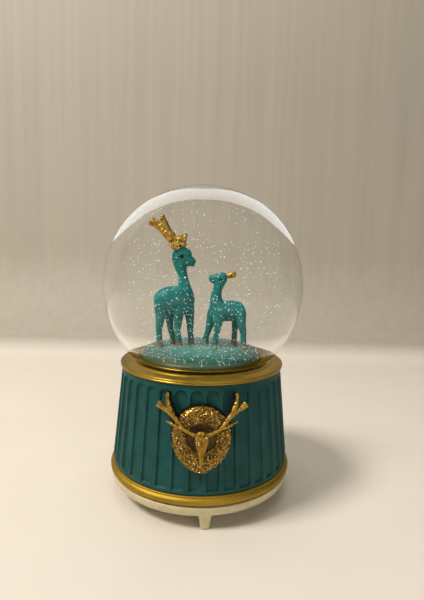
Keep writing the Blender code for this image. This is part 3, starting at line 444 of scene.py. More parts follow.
def figure_look(name, hoof_top):
    """Teal paint, with bronze hooves below hoof_top."""
    look = painted(name, FIGURE_DARK, FIGURE_LIGHT, 7.0, (0.34, 0.5), ((0.6, 0.02), (2.5, 0.04)),
                   Specular_IOR_Level=0.3)
    wobble = look.sum(look.noise(1.4, 2.0), 0.0012, "MULTIPLY")
    level = look.sum(look.upright(), wobble, "ADD")
    share = look.span(level, 1.0, 0.0, (hoof_top - 0.2) * MM, (hoof_top + 0.6) * MM)
    bronze = look.ramp(look.noise(0.7, 3.0), ((0.35, (0.13, 0.06, 0.03)), (0.65, (0.42, 0.26, 0.15))))
    look.feed("Base Color", look.blend(share, look.colour, bronze))
    return look.material


def mound_look_with_painted_light(low):
    """Light teal crown over flanks darkened towards the foot with painted shade, turning olive gold along the
    foot as a painted reflection of the gold collar.
    """
    look = painted("mound_paint_and_painted_light", (0.80,) * 3, (1.0,) * 3, 8.0, (0.3, 0.46), ((0.7, 0.03), (3.0, 0.06)),
                   Specular_IOR_Level=0.4)
    level = look.sum(look.upright(), look.sum(look.noise(5.0, 2.0), 0.0008, "MULTIPLY"), "ADD")
    share = look.span(level, 0.0, 1.0, (low + 0.4) * MM, (low + 8.4) * MM)
    # Painted shade and painted reflection: darker flanks low down, olive gold along the foot.
    tones = look.ramp(share, (
        (0.10, (0.17, 0.12, 0.02)), (0.28, (0.05, 0.06, 0.015)), (0.50, (0.010, 0.06, 0.043)),
        (0.72, (0.014, 0.10, 0.082)), (0.88, (0.034, 0.18, 0.16)), (0.98, (0.06, 0.27, 0.24)),
    ))
    look.feed("Base Color", look.blend(1.0, tones, look.colour, "MULTIPLY"))
    return look.material


gold_smooth = gold_look("gold_band", ((1.5, 0.004), (0.35, 0.003)), (0.52, 0.6), EVEN, 12.0)
gold_brushed = gold_look("gold_collar", ((1.6, 0.003), (0.4, 0.002)), (0.3, 0.38), EVEN, 12.0)
# The wreath, head and antler golds darken their recesses with painted shade (hollow 0.9).
gold_leaf = gold_look("gold_wreath", ((0.35, 0.02),), (0.18, 0.34),
                      ((0.27, 0.145, 0.02), (0.74, 0.46, 0.10)), 0.8, 0.9, (1.0, 0.82, 0.50))
gold_head = gold_look("gold_head", ((1.1, 0.07), (0.3, 0.03)), (0.26, 0.42),
                      ((0.20, 0.11, 0.014), (0.50, 0.31, 0.055)), 1.6, 0.9)
gold_horn = gold_look("gold_antler", ((0.6, 0.06), (0.25, 0.02)), (0.26, 0.4),
                      ((0.29, 0.16, 0.02), (0.60, 0.375, 0.065)), 2.5, 0.9)
dark_gold = painted("antique_recess", (0.045, 0.026, 0.005), (0.12, 0.07, 0.012), 4.0, (0.4, 0.6),
                    ((0.5, 0.05),), Metallic=0.5).material
# Near-black paint laid as painted shadow where the gaps behind the wreath and antlers fall into shade.
shadow_paint = painted("umber_backing", (0.003, 0.004, 0.003), (0.008, 0.008, 0.005), 3.0, (0.8, 0.95),
                ((0.6, 0.03),), Specular_IOR_Level=0.1).material
drum_paint = painted("drum_paint", (0.003, 0.054, 0.051), (0.006, 0.084, 0.079), 9.0, (0.42, 0.54),
                     ((0.5, 0.02), (4.0, 0.05)), Specular_IOR_Level=0.25).material
cream = painted("cream_plastic", (0.63, 0.55, 0.32), (0.68, 0.60, 0.355), 25.0, (0.3, 0.4), ((0.6, 0.002),),
                Coat_Weight=0.2, Subsurface_Weight=0.1, Subsurface_Radius=(0.002, 0.0015, 0.001)).material
# Flake white with a faint painted glow: a little emission makes the flakes brighter than the lamps alone
# light them.
glowing_flake_white = painted("glowing_flake_white", (0.86, 0.90, 0.88), (0.95, 0.97, 0.95), 1.0, (0.15, 0.35),
                      ((0.2, 0.01),), Coat_Weight=0.3, Emission_Color=(0.95, 1.0, 0.97, 1.0),
                      Emission_Strength=0.2).material
eye_black = painted("eye_black", (0.002,) * 3, (0.006,) * 3, 0.8, (0.2, 0.3), ((0.3, 0.004),),
                    Coat_Weight=0.1, Specular_IOR_Level=0.3).material

# ---------------------------------------------------------------- glass globe

globe_low, globe_high = extent("glass_globe")
GLOBE_RADIUS = 0.5 * (globe_high.x - globe_low.x)
GLOBE_CENTRE = globe_high.z - GLOBE_RADIUS
GLASS_WALL = 1.1
NECK_RADIUS = 32.6
NECK_WALL = 2.0


def globe_arc(radius, start, end, steps=90):
    """Arc about the globe's centre; angles count from straight up."""
    turns = [start + (end - start) * step / steps for step in range(steps + 1)]
    return [Vector((radius * math.sin(turn), GLOBE_CENTRE + radius * math.cos(turn))) for turn in turns]


def glass_globe():
    inner = GLOBE_RADIUS - GLASS_WALL
    neck_inner = NECK_RADIUS - NECK_WALL
    pole = 0.006
    outline = globe_arc(GLOBE_RADIUS, pole, math.pi - math.asin(NECK_RADIUS / GLOBE_RADIUS))
    outline += [Vector((NECK_RADIUS, globe_low.z + 0.4)), Vector((NECK_RADIUS - 0.4, globe_low.z))]
    outline += [Vector((neck_inner + 0.4, globe_low.z)), Vector((neck_inner, globe_low.z + 0.4))]
    outline += globe_arc(inner, math.pi - math.asin(neck_inner / inner), pole)
    shell = turned(outline, 144, loop=False)
    add_piece("clear_globe", shell, glass_look(), ["glass_globe"])


glass_globe()

# ---------------------------------------------------------------- mound, snow and glitter

mound_low, mound_high = extent("snow_mound")
MOUND_EDGE = mound_low.z + 1.7
MOUND_SHIFT = -0.6
MOUND_BULGE = 31.1
MOUND_WAIST = mound_low.z + 3.7
MOUND_SIDES = 160
FLOATING = 640
SNOW_INSET = 4.5
chance = random.Random(20)


def mound_height(x, y):
    """Top of the mound, with slow lumps."""
    share = min(1.0, math.hypot(x, y) / MOUND_BULGE)
    dome = math.sqrt(max(0.0, 1.0 - share ** 3.2))
    lump = noise.noise(Vector((x * 0.09, y * 0.09, 3.0))) * 0.3
    crown = 0.5 * math.exp(-(x * x + (y + 6.0) ** 2 * 3.0) / 700.0)
    return MOUND_WAIST + (mound_high.z - 0.5 - MOUND_WAIST + lump + crown) * dome


def snow_mound():
    rows = [(radius, mound_low.z, False) for radius in (8.0, 18.0, 25.2)]
    for step in range(1, 9):
        turn = math.radians(90.0) * step / 8
        rows.append((26.0 + (MOUND_BULGE - 26.0) * math.sin(turn),
                     MOUND_WAIST - (MOUND_WAIST - mound_low.z) * math.cos(turn), False))
    steps = 34
    for step in range(1, steps + 1):
        turn = math.radians(88.5) * step / steps
        rows.append((MOUND_BULGE * math.cos(turn) ** 0.625, 0.0, True))

    def spot(row, angle):
        radius, height, top = row
        x, y = radius * math.cos(angle), radius * math.sin(angle)
        return Vector((x + MOUND_SHIFT, y, mound_height(x, y) if top else height))

    shell = skin(rings_of(rows, MOUND_SIDES, spot))
    add_piece("teal_mound", shell, mound_look_with_painted_light(mound_low.z), ["snow_mound"])


def gilt_reflection_dish():
    """Thin gold dish between the mound's foot and the glass; it stands in as a painted reflection of the gold
    collar seen through the glass.
    """
    outline = rounded((
        (28.6, 65.9, 0.1), (30.3, 66.0, 0.2), (31.1, 66.6, 0.2), (33.25, 68.6, 0.1), (33.1, 68.8, 0.05),
        (31.4, 67.5, 0.3), (29.9, 66.9, 0.3), (28.6, 66.7, 0.1),
    ), 0.5)
    add_piece("gilt_reflection_dish", turned(outline, 180), gold_brushed, [])


def drift(*spreads):
    """A random lean, with one spread for each axis."""
    return Vector([chance.gauss(0, spread) for spread in spreads])


def flake(shell, centre, normal, radius, thick):
    """One six-sided chip, added to a shell."""
    normal = normal.normalized()
    side = normal.orthogonal().normalized()
    other = normal.cross(side)
    spin = chance.uniform(0.0, 1.0)
    rim = []
    for corner in range(6):
        turn = math.radians(60.0 * (corner + spin))
        reach = radius * chance.uniform(0.75, 1.1)
        spot = centre + side * (reach * math.cos(turn)) + other * (reach * math.sin(turn))
        rim.append(shell.verts.new(spot))
    for way in (1.0, -1.0):
        tip = shell.verts.new(centre + normal * (way * thick))
        for pair in zip(rim, rim[1:] + rim[:1]):
            shell.faces.new((*(pair if way > 0.0 else pair[::-1]), tip))


def scattered(name, surface, count, weight, sizes):
    """Chips lying on a surface object, denser where weight(centre, normal) is high."""
    mesh = surface.data
    faces = [(face.center / MM, face.normal.copy(), face.area) for face in mesh.polygons]
    shares = [area * max(0.0, weight(centre, normal)) for centre, normal, area in faces]
    shell = bmesh.new()
    for centre, normal, _ in chance.choices(faces, shares, k=count):
        tilt = drift(0.15, 0.15, 0.15)
        radius = chance.uniform(*sizes)
        flake(shell, centre + normal * 0.1, normal + tilt, radius, 0.45 * radius)
    return add_piece(name, shell, glowing_flake_white, [])


def floating_snow():
    shell = bmesh.new()
    reach = GLOBE_RADIUS - SNOW_INSET
    made = 0
    while made < FLOATING:
        spot = Vector([chance.uniform(-1, 1) for _ in range(3)])
        if spot.length > 1.0:
            continue
        centre = spot * reach + Vector((0.0, 0.0, GLOBE_CENTRE))
        if centre.z < mound_high.z + 1.0:
            continue
        normal = drift(1, 1, 1)
        radius = chance.uniform(0.18, 0.42)
        flake(shell, centre, normal, radius, 0.6 * radius)
        made += 1
    add_piece("floating_snow", shell, glowing_flake_white, [])


snow_mound()
gilt_reflection_dish()
mound = bpy.data.objects["teal_mound"]
scattered("mound_glitter", mound, 660,
          lambda spot, normal: max(0.0, normal.z) ** 3.0 if spot.z > MOUND_EDGE + 1.6 else 0.0, (0.16, 0.38))
floating_snow()

# ---------------------------------------------------------------- deer

STAG_Y = -2.0
STAG_TRUNK = ((-22.6, 94.8, 4.9, 3.7), (-18.5, 96.0, 6.7, 5.0), (-13.8, 96.7, 6.8, 5.0),
              (-9.6, 96.6, 6.0, 4.5), (-7.2, 95.6, 4.2, 3.4))
STAG_NECK = ((-8.9, 93.0, 4.3, 3.5), (-8.9, 97.0, 4.7, 3.8), (-9.3, 101.0, 3.9, 3.3), (-9.8, 104.5, 3.0, 2.8),
             (-10.4, 108.8, 2.4, 2.35), (-11.2, 111.6, 2.8, 2.5), (-11.9, 114.5, 3.6, 2.9))
STAG_SKULL = ((-11.0, 117.0, 3.4, 3.0), (-8.8, 117.1, 3.0, 2.55), (-7.1, 116.6, 2.45, 2.1),
              (-5.6, 115.9, 1.85, 1.75), (-4.9, 115.5, 1.45, 1.45))
STAG_JAW = ((-11.2, 115.4, 2.5, 2.4), (-8.2, 114.9, 1.6, 1.7), (-5.8, 114.4, 0.95, 1.2))
STAG_HEAD = ((-12.8, 118.8, 3.3, 3.0), (-11.2, 120.1, 3.6, 3.1), (-9.3, 119.5, 3.25, 2.7),
             (-13.0, 116.6, 3.0, 2.7), (-5.1, 115.95, 1.05, 1.25), (-5.4, 114.25, 0.95, 1.0))
STAG_LEGS = (
    (((-21.2, 93.5, 3.6), (-21.5, 87.0, 2.4), (-22.0, 81.5, 1.75), (-21.8, 76.5, 1.65),
      (-21.7, 71.5, 2.0)), -4.2),
    (((-17.6, 92.0, 3.0), (-17.0, 86.0, 2.15), (-16.6, 81.0, 1.6), (-15.3, 76.5, 1.55),
      (-15.1, 71.5, 1.9)), 1.0),
    (((-12.0, 93.5, 3.2), (-12.3, 87.0, 2.3), (-12.6, 81.0, 1.7), (-12.0, 76.5, 1.6),
      (-11.8, 71.5, 1.95)), -4.0),
    (((-7.6, 93.0, 3.3), (-6.6, 87.0, 2.3), (-6.4, 81.0, 1.7), (-5.9, 76.5, 1.6), (-5.8, 71.5, 1.9)), 0.6),
)
FAWN_Y = -3.0
FAWN_TRUNK = ((18.9, 92.1, 4.0, 3.3), (15.6, 91.8, 5.1, 4.0), (11.5, 91.3, 5.3, 4.1), (7.0, 91.4, 4.8, 3.8),
              (5.6, 91.6, 3.9, 3.2))
FAWN_NECK = ((7.2, 90.5, 3.9, 3.1), (7.1, 94.0, 4.0, 3.2), (6.6, 97.3, 3.1, 2.7), (6.7, 100.0, 2.65, 2.4),
             (7.4, 103.0, 2.4, 2.2), (8.6, 106.4, 2.8, 2.5))
FAWN_SKULL = ((10.5, 108.3, 2.75, 2.35), (8.6, 107.9, 3.0, 2.6), (6.4, 107.5, 2.7, 2.2),
              (4.8, 107.5, 2.2, 1.85), (3.4, 107.9, 1.6, 1.5))
FAWN_HEAD = ((3.6, 108.6, 1.0, 1.15), (4.4, 106.7, 1.1, 1.2), (7.6, 106.4, 2.0, 2.2))
FAWN_LEGS = (
    (((5.2, 90.0, 3.0), (3.8, 84.0, 2.1), (2.8, 80.0, 1.6), (1.9, 76.5, 1.5), (1.7, 71.5, 1.85)), -0.6),
    (((8.2, 89.5, 3.0), (7.6, 84.0, 2.05), (7.1, 80.5, 1.6), (6.7, 76.5, 1.5), (6.6, 71.5, 1.85)), -5.4),
    (((17.4, 90.0, 2.8), (16.9, 84.0, 1.95), (16.6, 80.5, 1.5), (16.5, 76.5, 1.5), (16.5, 71.5, 1.85)), -0.2),
    (((18.9, 90.8, 3.1), (19.7, 85.0, 2.2), (20.6, 81.0, 1.75), (20.8, 76.5, 1.6), (20.8, 71.0, 1.95)), -5.4),
)


def limb(rows, y, cap=0.6):
    """Tube from (x, z, half height, half width) rows at one depth."""
    return tube([(x, y, z, high, wide) for x, z, high, wide in rows], 22, 6, cap)


def leg(rows, foot_y, body_y):
    """Leg that leans in under the body and fades out inside it."""
    x, top, radius = rows[0]
    path = []
    for x, z, radius in [(x, top + 3.4, radius * 0.6)] + list(rows):
        lean = 0.55 * min(1.0, max(0.0, (z - 84.0) / (top - 82.0)))
        path.append((x, foot_y + (body_y - foot_y) * lean, z, radius, radius * 0.95))
    return tube(path, 18, 5, 0.6)


def deer(name, node, y, limbs, rounds, legs, mouth, hoof_top):
    """One figure of limbs and rounded masses; its mouth is (x of the lips, z, way it points)."""
    shells = [limb(rows, y) for rows in limbs]
    shells += [ball((x, y, z), (radius, wide, radius)) for x, z, radius, wide in rounds]
    shells += [leg(rows, depth, y) for rows, depth in legs]
    shell = melted(shells, 0.28, 11)
    lips, level, way = mouth
    for vertex in shell.verts:
        spot = vertex.co
        ahead = (spot.x - lips) * way
        if ahead > 0.0 and abs(spot.z - level) < 1.2:
            press = math.exp(-((spot.z - level) / 0.3) ** 2) * min(1.0, ahead / 0.8) * 0.35
            spot.x -= way * press
            spot.y += (y - spot.y) * press * 0.35
    return add_piece(name, shell, figure_look(name + "_paint", hoof_top), [node])


def eyes(name, x, z, y, spread, radius):
    """A pair of glossy eyes."""
    shells = [ball((x, y + side * spread, z), (radius * 1.45, radius * 0.6, radius)) for side in (-1.0, 1.0)]
    return add_piece(name, gathered(shells), eye_black, [])


stag = deer("stag_figure", "stag", STAG_Y, (STAG_TRUNK, STAG_NECK, STAG_SKULL, STAG_JAW), STAG_HEAD,
            STAG_LEGS, (-6.2, 115.05, 1.0), 75.6)
fawn = deer("fawn_figure", "fawn", FAWN_Y, (FAWN_TRUNK, FAWN_NECK, FAWN_SKULL), FAWN_HEAD, FAWN_LEGS,
            (4.6, 107.2, -1.0), 75.2)
eyes("stag_eyes", -11.0, 118.5, STAG_Y, 3.02, 0.86)
eyes("fawn_eyes", 8.4, 107.4, FAWN_Y, 2.42, 0.72)
scattered("stag_glitter", stag, 330, lambda spot, normal: 1.0 if spot.z < 103.0 else 0.16, (0.15, 0.35))
scattered("fawn_glitter", fawn, 220, lambda spot, normal: 1.0 if spot.z < 100.0 else 0.1, (0.15, 0.34))

# ---------------------------------------------------------------- gold on the deer

BUDS = ((-15.8, 124.3, 1.4), (-13.2, 124.4, 1.45), (-10.5, 124.6, 1.35), (-17.0, 127.0, 1.4),
        (-14.4, 127.2, 1.45), (-11.8, 127.4, 1.35), (-16.7, 129.5, 1.3), (-9.9, 127.0, 1.0),
        (-15.0, 122.9, 1.2), (-13.0, 122.7, 1.1))
NEAR_Y, FAR_Y = -4.0, 0.0
ANTLER = ((-13.6, 124.6, 1.8, 1.3), (-15.6, 126.8, 2.4, 1.45), (-18.6, 130.0, 2.7, 1.5),
          (-21.6, 132.8, 2.4, 1.45), (-24.2, 134.4, 2.0, 1.35), (-26.0, 135.2, 2.2, 1.45))
TINE = ((-19.0, 131.6, 2.1, 1.3), (-20.0, 134.5, 1.8, 1.2), (-20.7, 137.0, 1.25, 1.0),
        (-21.0, 138.0, 1.1, 0.95))
PRONG = ((-11.3, 126.4, 1.2, 1.1), (-10.1, 128.0, 1.0, 1.0), (-9.3, 129.0, 1.2, 1.15))


def rosette(centre, radius, facing):
    """A bud: a round heart in a whorl of petals."""
    shells = [ball(centre, (radius * 0.72,) * 3, 2)]
    side = facing.orthogonal().normalized()
    other = facing.cross(side)
    for layer, (count, reach, size) in enumerate(((5, 0.62, 0.42), (7, 1.0, 0.38))):
        for petal in range(count):
            turn = 2.0 * math.pi * (petal + 0.5 * layer) / count
            offset = side * math.cos(turn) + other * math.sin(turn)
            spot = centre + offset * (radius * reach) + facing * (radius * (0.35 - 0.45 * layer))
            shells.append(ball(spot, (radius * size,) * 3, 2))
    return shells


def stag_gold():
    shells = []
    for depth, way in ((-4.6, -1.0), (0.6, 1.0)):
        for x, z, radius in BUDS:
            shift = chance.uniform(-0.4, 0.4)
            shells += rosette(Vector((x, depth + shift, z)), radius, Vector((0.15, way, 0.1)).normalized())
    for x, z, radius in BUDS[:3]:
        shells += rosette(Vector((x, STAG_Y, z + 0.6)), radius, Vector((0.3, 0.0, 1.0)).normalized())
    shells.append(ball((-12.3, STAG_Y, 124.4), (3.2, 2.6, 1.3)))
    shells.append(limb(PRONG, -3.4, 0.8))
    shells.append(limb(PRONG, -0.6, 0.8))
    add_piece("bud_wreath", melted(shells, 0.17, 2), gold_leaf, ["stag_wreath"])
    for name, depth in (("antler_near", NEAR_Y), ("antler_far", FAR_Y)):
        shell = melted([limb(ANTLER, depth, 0.7), limb(TINE, depth, 0.8)], 0.2, 3)
        for vertex in shell.verts:
            ridge = noise.noise(Vector((vertex.co.x * 0.5 + vertex.co.z * 0.5, vertex.co.y * 1.6,
                                        (vertex.co.z - vertex.co.x) * 1.3)))
            vertex.co += (vertex.co - Vector((vertex.co.x, depth, vertex.co.z))) * (0.25 * ridge)
            vertex.co.z += 0.14 * noise.noise(vertex.co * 1.1)
        add_piece(name, shell, gold_horn, ["stag_" + name])


def fawn_gold():
    rows = ((11.6, 108.8, 0.9, 0.9), (12.8, 109.2, 1.1, 1.0), (14.2, 109.7, 1.6, 1.4),
            (15.4, 110.0, 1.45, 1.3))
    shells = [limb(rows, FAWN_Y, 0.8)]
    for x, z in ((12.6, 110.2), (13.8, 110.9), (15.2, 109.0), (13.4, 108.5), (15.6, 110.9)):
        shells.append(ball((x, FAWN_Y + chance.uniform(-0.6, 0.6), z), (0.55,) * 3, 2))
    add_piece("fawn_bud_horn", melted(shells, 0.14, 2), gold_horn, ["fawn_horn"])


stag_gold()
fawn_gold()

# ---------------------------------------------------------------- collar, drum, band and tray

collar_low, collar_high = extent("collar_ring")
band_low, band_high = extent("lower_band")
tray_low, tray_high = extent("bottom_tray")
COLLAR_RADIUS = 0.5 * (collar_high.x - collar_low.x)
BAND_RADIUS = 0.5 * (band_high.x - band_low.x)
TRAY_RADIUS = 0.5 * (tray_high.x - tray_low.x)
LIP_RADIUS = 34.9
DRUM_TOP, DRUM_TOP_RADIUS = 63.9, 40.2
DRUM_WAIST, DRUM_WAIST_RADIUS = 22.0, 44.3
DRUM_BOTTOM, DRUM_BOTTOM_RADIUS = 16.4, 44.5
FLUTES = 36
FLUTE_PHASE = math.radians(-92.5)
FLUTE_HALF = 2.6
FLUTE_DEPTH = 0.95
FLUTE_ARCH_TOP = 61.4
FLUTE_FOOT = 17.9
FLUTE_MIDDLE_RADIUS = 42.5
KEY_ROOF = 13.2


def uneven(amount, wavelength, seed):
    """A hand-finished surface: small slow waves in radius and height."""
    def shape(radius, height, angle):
        spot = Vector((math.cos(angle) * radius, math.sin(angle) * radius, height)) / wavelength
        wave = noise.noise(spot + Vector((seed, 0.0, 0.0)))
        rise = noise.noise(spot + Vector((0.0, seed, 7.0)))
        return radius + amount * wave, height + 0.6 * amount * rise
    return shape


def collar_ring():
    top = collar_high.z
    outline = rounded((
        (NECK_RADIUS + 0.25, collar_low.z + 1.5, 0.1), (NECK_RADIUS + 0.65, collar_low.z + 2.1, 0.1),
        (NECK_RADIUS + 1.25, top - 0.12, 0.15), (LIP_RADIUS + 0.45, top - 0.05, 0.25),
        (LIP_RADIUS + 0.95, top - 0.45, 0.2), (LIP_RADIUS + 1.25, top - 0.72, 0.12),
        (COLLAR_RADIUS - 1.75, top - 1.0, 0.3), (COLLAR_RADIUS - 1.5, top - 1.12, 0.12),
        (COLLAR_RADIUS - 1.15, top - 0.82, 0.3), (COLLAR_RADIUS - 0.05, top - 0.95, 0.5),
        (COLLAR_RADIUS - 0.03, top - 1.85, 0.4), (COLLAR_RADIUS - 0.35, top - 2.0, 0.1),
        (COLLAR_RADIUS - 0.12, top - 2.25, 0.15), (COLLAR_RADIUS - 0.2, collar_low.z + 0.03, 0.2),
        (COLLAR_RADIUS - 0.9, collar_low.z, 0.1), (NECK_RADIUS + 0.25, collar_low.z, 0.1),
    ), 0.7)
    shell = turned(outline, 240, uneven(0.012, 9.0, 1.0))
    add_piece("gold_collar", shell, gold_brushed, ["collar_ring"])


def drum_radius(height):
    if height < DRUM_WAIST:
        return DRUM_BOTTOM_RADIUS
    share = (height - DRUM_WAIST) / (DRUM_TOP - DRUM_WAIST)
    return DRUM_WAIST_RADIUS + (DRUM_TOP_RADIUS - DRUM_WAIST_RADIUS) * share


def eased(value, low, high):
    share = min(1.0, max(0.0, (value - low) / (high - low)))
    return share * share * (3.0 - 2.0 * share)


def flute_depth(angle, height):
    """How deep the round-topped flute is at a place on the wall."""
    pitch = 2.0 * math.pi / FLUTES
    offset = (angle - FLUTE_PHASE + 0.5 * pitch) % pitch - 0.5 * pitch
    across = abs(offset) * drum_radius(height)
    spring = FLUTE_ARCH_TOP - FLUTE_HALF
    inside = FLUTE_HALF - (math.hypot(across, height - spring) if height > spring else across)
    wall = eased(inside, -0.18, 0.42)
    foot = eased(height, FLUTE_FOOT - 0.25, FLUTE_FOOT + 0.5)
    hollow = 0.12 * max(0.0, 1.0 - (across / FLUTE_HALF) ** 2)
    lip = 0.16 * math.exp(-((inside + 0.42) / 0.22) ** 2) * foot
    return (FLUTE_DEPTH + hollow) * wall * foot - lip


def fluted_drum():
    pitch = 2.0 * math.pi / FLUTES
    half = 0.5 * pitch
    edge = FLUTE_HALF / FLUTE_MIDDLE_RADIUS
    marks = [0.0, 0.3 * edge, 0.6 * edge, 0.8 * edge]
    marks += [edge + past for past in (-0.0085, -0.006, -0.0035, -0.001, 0.0015, 0.004, 0.007, 0.01, 0.014)]
    offsets = [-mark for mark in reversed(marks) if mark > 0.0] + marks
    angles = [FLUTE_PHASE + index * pitch + offset for index in range(FLUTES) for offset in offsets + [half]]
    rows = [DRUM_BOTTOM + 0.15, DRUM_BOTTOM + 0.8]
    rows += [FLUTE_FOOT - 0.5 + 0.14 * step for step in range(10)]
    rows += [19.4 + (FLUTE_ARCH_TOP - 3.6 - 19.4) * step / 26 for step in range(27)]
    rows += [FLUTE_ARCH_TOP - 3.3 + 0.2 * step for step in range(21)]
    rows += [FLUTE_ARCH_TOP + 1.2, DRUM_TOP - 0.5, DRUM_TOP - 0.15]
    rings = []
    for height in rows:
        ring = []
        for angle in angles:
            wave = 0.05 * noise.noise(Vector((math.cos(angle) * 4.0, math.sin(angle) * 4.0, height * 0.12)))
            reach = drum_radius(height) - flute_depth(angle, height) + wave
            ring.append(polar(reach, angle, height))
        rings.append(ring)
    inner = ((DRUM_TOP_RADIUS - 0.25, DRUM_TOP), (36.0, DRUM_TOP), (NECK_RADIUS + 0.4, DRUM_TOP),
             (NECK_RADIUS + 0.4, DRUM_TOP - 6.0), (36.5, DRUM_TOP - 9.0), (41.0, DRUM_BOTTOM + 2.0),
             (41.2, DRUM_BOTTOM), (43.0, DRUM_BOTTOM), (DRUM_BOTTOM_RADIUS - 0.2, DRUM_BOTTOM))
    for radius, height in inner:
        rings.append([polar(radius, angle, height) for angle in angles])
    add_piece("fluted_drum", skin(rings, True), drum_paint, ["base_shell"], 50)


def gold_band():
    inner = DRUM_BOTTOM_RADIUS - 2.5
    low, top = band_low.z, band_high.z
    middle, bulge = low + 1.75, 1.72
    points = [(inner, top, 0.1), (DRUM_BOTTOM_RADIUS + 0.1, top, 0.1),
              (DRUM_BOTTOM_RADIUS + 0.62, top - 0.18, 0.25), (DRUM_BOTTOM_RADIUS + 0.66, top - 0.62, 0.2),
              (DRUM_BOTTOM_RADIUS + 0.5, top - 0.85, 0.08)]
    for step in range(13):
        turn = math.radians(62.0 - 12.3 * step)
        points.append((BAND_RADIUS - 1.75 + 1.7 * math.cos(turn), middle + bulge * math.sin(turn), 0.0))
    points += [(BAND_RADIUS - 1.9, low, 0.1), (inner, low, 0.1)]
    shell = turned(rounded(points, 0.8), 260, uneven(0.015, 9.0, 5.0))
    add_piece("painted_band", shell, gold_smooth, ["lower_band"])


FOOT_ANGLE = math.radians(-86.3)
FOOT_CIRCLE = 42.0
KEY_X = -12.0
KEY_RECESS = 14.0
MOVEMENT_SCREWS = ((-26.0, 13.2), (22.0, -12.5), (13.0, 12.5))
BOSS_CIRCLE = 36.5
TRAY_BOTTOM = 6.6
HEAD_RADIUS = 2.7


def around(circle, first, count=3):
    """Equally spaced places on a circle."""
    turns = [first + turn_at(step, count) for step in range(count)]
    return [(circle * math.cos(turn), circle * math.sin(turn)) for turn in turns]


TRAY_SCREWS = around(BOSS_CIRCLE, FOOT_ANGLE + math.pi / 3.0)


def foot(angle):
    """Tapered foot that flares into the tray."""
    rows = ((0.0, 1.7, 1.4), (0.12, 2.0, 1.7), (0.4, 2.15, 1.85), (2.0, 2.35, 1.95), (4.0, 2.65, 2.1),
            (5.6, 2.95, 2.25), (6.5, 3.35, 2.5), (7.1, 3.9, 2.9), (7.6, 4.6, 3.2), (8.3, 4.7, 3.3))

    def spot(row, turn):
        height, wide, deep = row
        square = 1.0 / (abs(math.cos(turn)) ** 3 + abs(math.sin(turn)) ** 3) ** (1.0 / 3.0)
        x, y = deep * square * math.cos(turn), wide * square * math.sin(turn)
        return Matrix.Rotation(angle, 3, "Z") @ Vector((FOOT_CIRCLE + x - 0.1, y, height))

    return skin(rings_of(rows, 32, spot))


def cream_tray():
    low, top = TRAY_BOTTOM, tray_high.z
    outline = rounded((
        (0.5, 10.4, 0.0), (40.6, 10.4, 0.2), (41.0, 11.4, 0.3), (TRAY_RADIUS - 0.1, 11.4, 0.3),
        (TRAY_RADIUS, 10.4, 0.4), (TRAY_RADIUS - 0.35, 8.6, 0.9), (TRAY_RADIUS - 1.4, low + 0.15, 0.9),
        (TRAY_RADIUS - 2.8, low, 0.4), (TRAY_RADIUS - 3.8, low + 0.25, 0.2),
        (TRAY_RADIUS - 4.2, low + 0.35, 0.2), (0.5, low + 0.35, 0.0),
    ), 1.2, False)
    shell = turned(outline, 200, loop=False)
    housing = post(KEY_RECESS + 2.0, 9.4, min(KEY_ROOF + 2.0, top), (KEY_X, 0.0), 72)
    cutters = [post(KEY_RECESS, 4.0, KEY_ROOF, (KEY_X, 0.0), 72)]
    for spot in list(MOVEMENT_SCREWS) + TRAY_SCREWS:
        cutters.append(post(HEAD_RADIUS + 0.4, 4.0, TRAY_BOTTOM + 2.4, spot, 32))
    pieces = [carved(shell, [cutter.copy() for cutter in cutters])]
    pieces.append(carved(housing, cutters[:1]))
    for cutter in cutters[1:]:
        cutter.free()
    pieces += [foot(FOOT_ANGLE + turn_at(index, 3.0)) for index in range(3)]
    add_piece("cream_tray", gathered(pieces), cream, ["bottom_tray"], 40)


collar_ring()
fluted_drum()
gold_band()
cream_tray()

# ---------------------------------------------------------------- medallion

MEDALLION_Z = 42.2
WREATH_RING = 9.75
WREATH_HALF = 2.95
WREATH_BASE = 1.2
WREATH_TALL = 1.08
HOLE_SQUASH = 0.07
WREATH_RISE = 2.55
WREATH_X = 0.5
WREATH_STEPS = 420
LEAVES = 2300
FRONT_LIMIT = -49.9


def drum_spot(x, height, stand_off):
    """A point in front of the drum's face."""
    radius = drum_radius(height) + stand_off
    return Vector((x, -math.sqrt(radius * radius - x * x), height))


def wreath_tall(across):
    """The rim is taller than it is wide and the hole is a little flatter."""
    return WREATH_TALL - HOLE_SQUASH * (1.0 - across)


def wreath_place(angle, reach, tall, stand_off, middle=MEDALLION_Z):
    """A point at a reach from the medallion's middle, stood off from the drum."""
    return drum_spot(reach * math.cos(angle) + WREATH_X, middle + reach * math.sin(angle) * tall, stand_off)


def wreath_spot(angle, across, extra=0.0):
    """A point of the wreath's rounded top; across runs from -1 at the hole to 1 at the rim."""
    point = max(0.0, -math.sin(angle)) ** 10
    reach = WREATH_RING + WREATH_HALF * across + (point if across > 0 else 0.0)
    rise = WREATH_RISE * math.sqrt(max(0.0, 1.0 - abs(across) ** 2.6))
    return wreath_place(angle, reach, wreath_tall(across), WREATH_BASE + rise + extra)


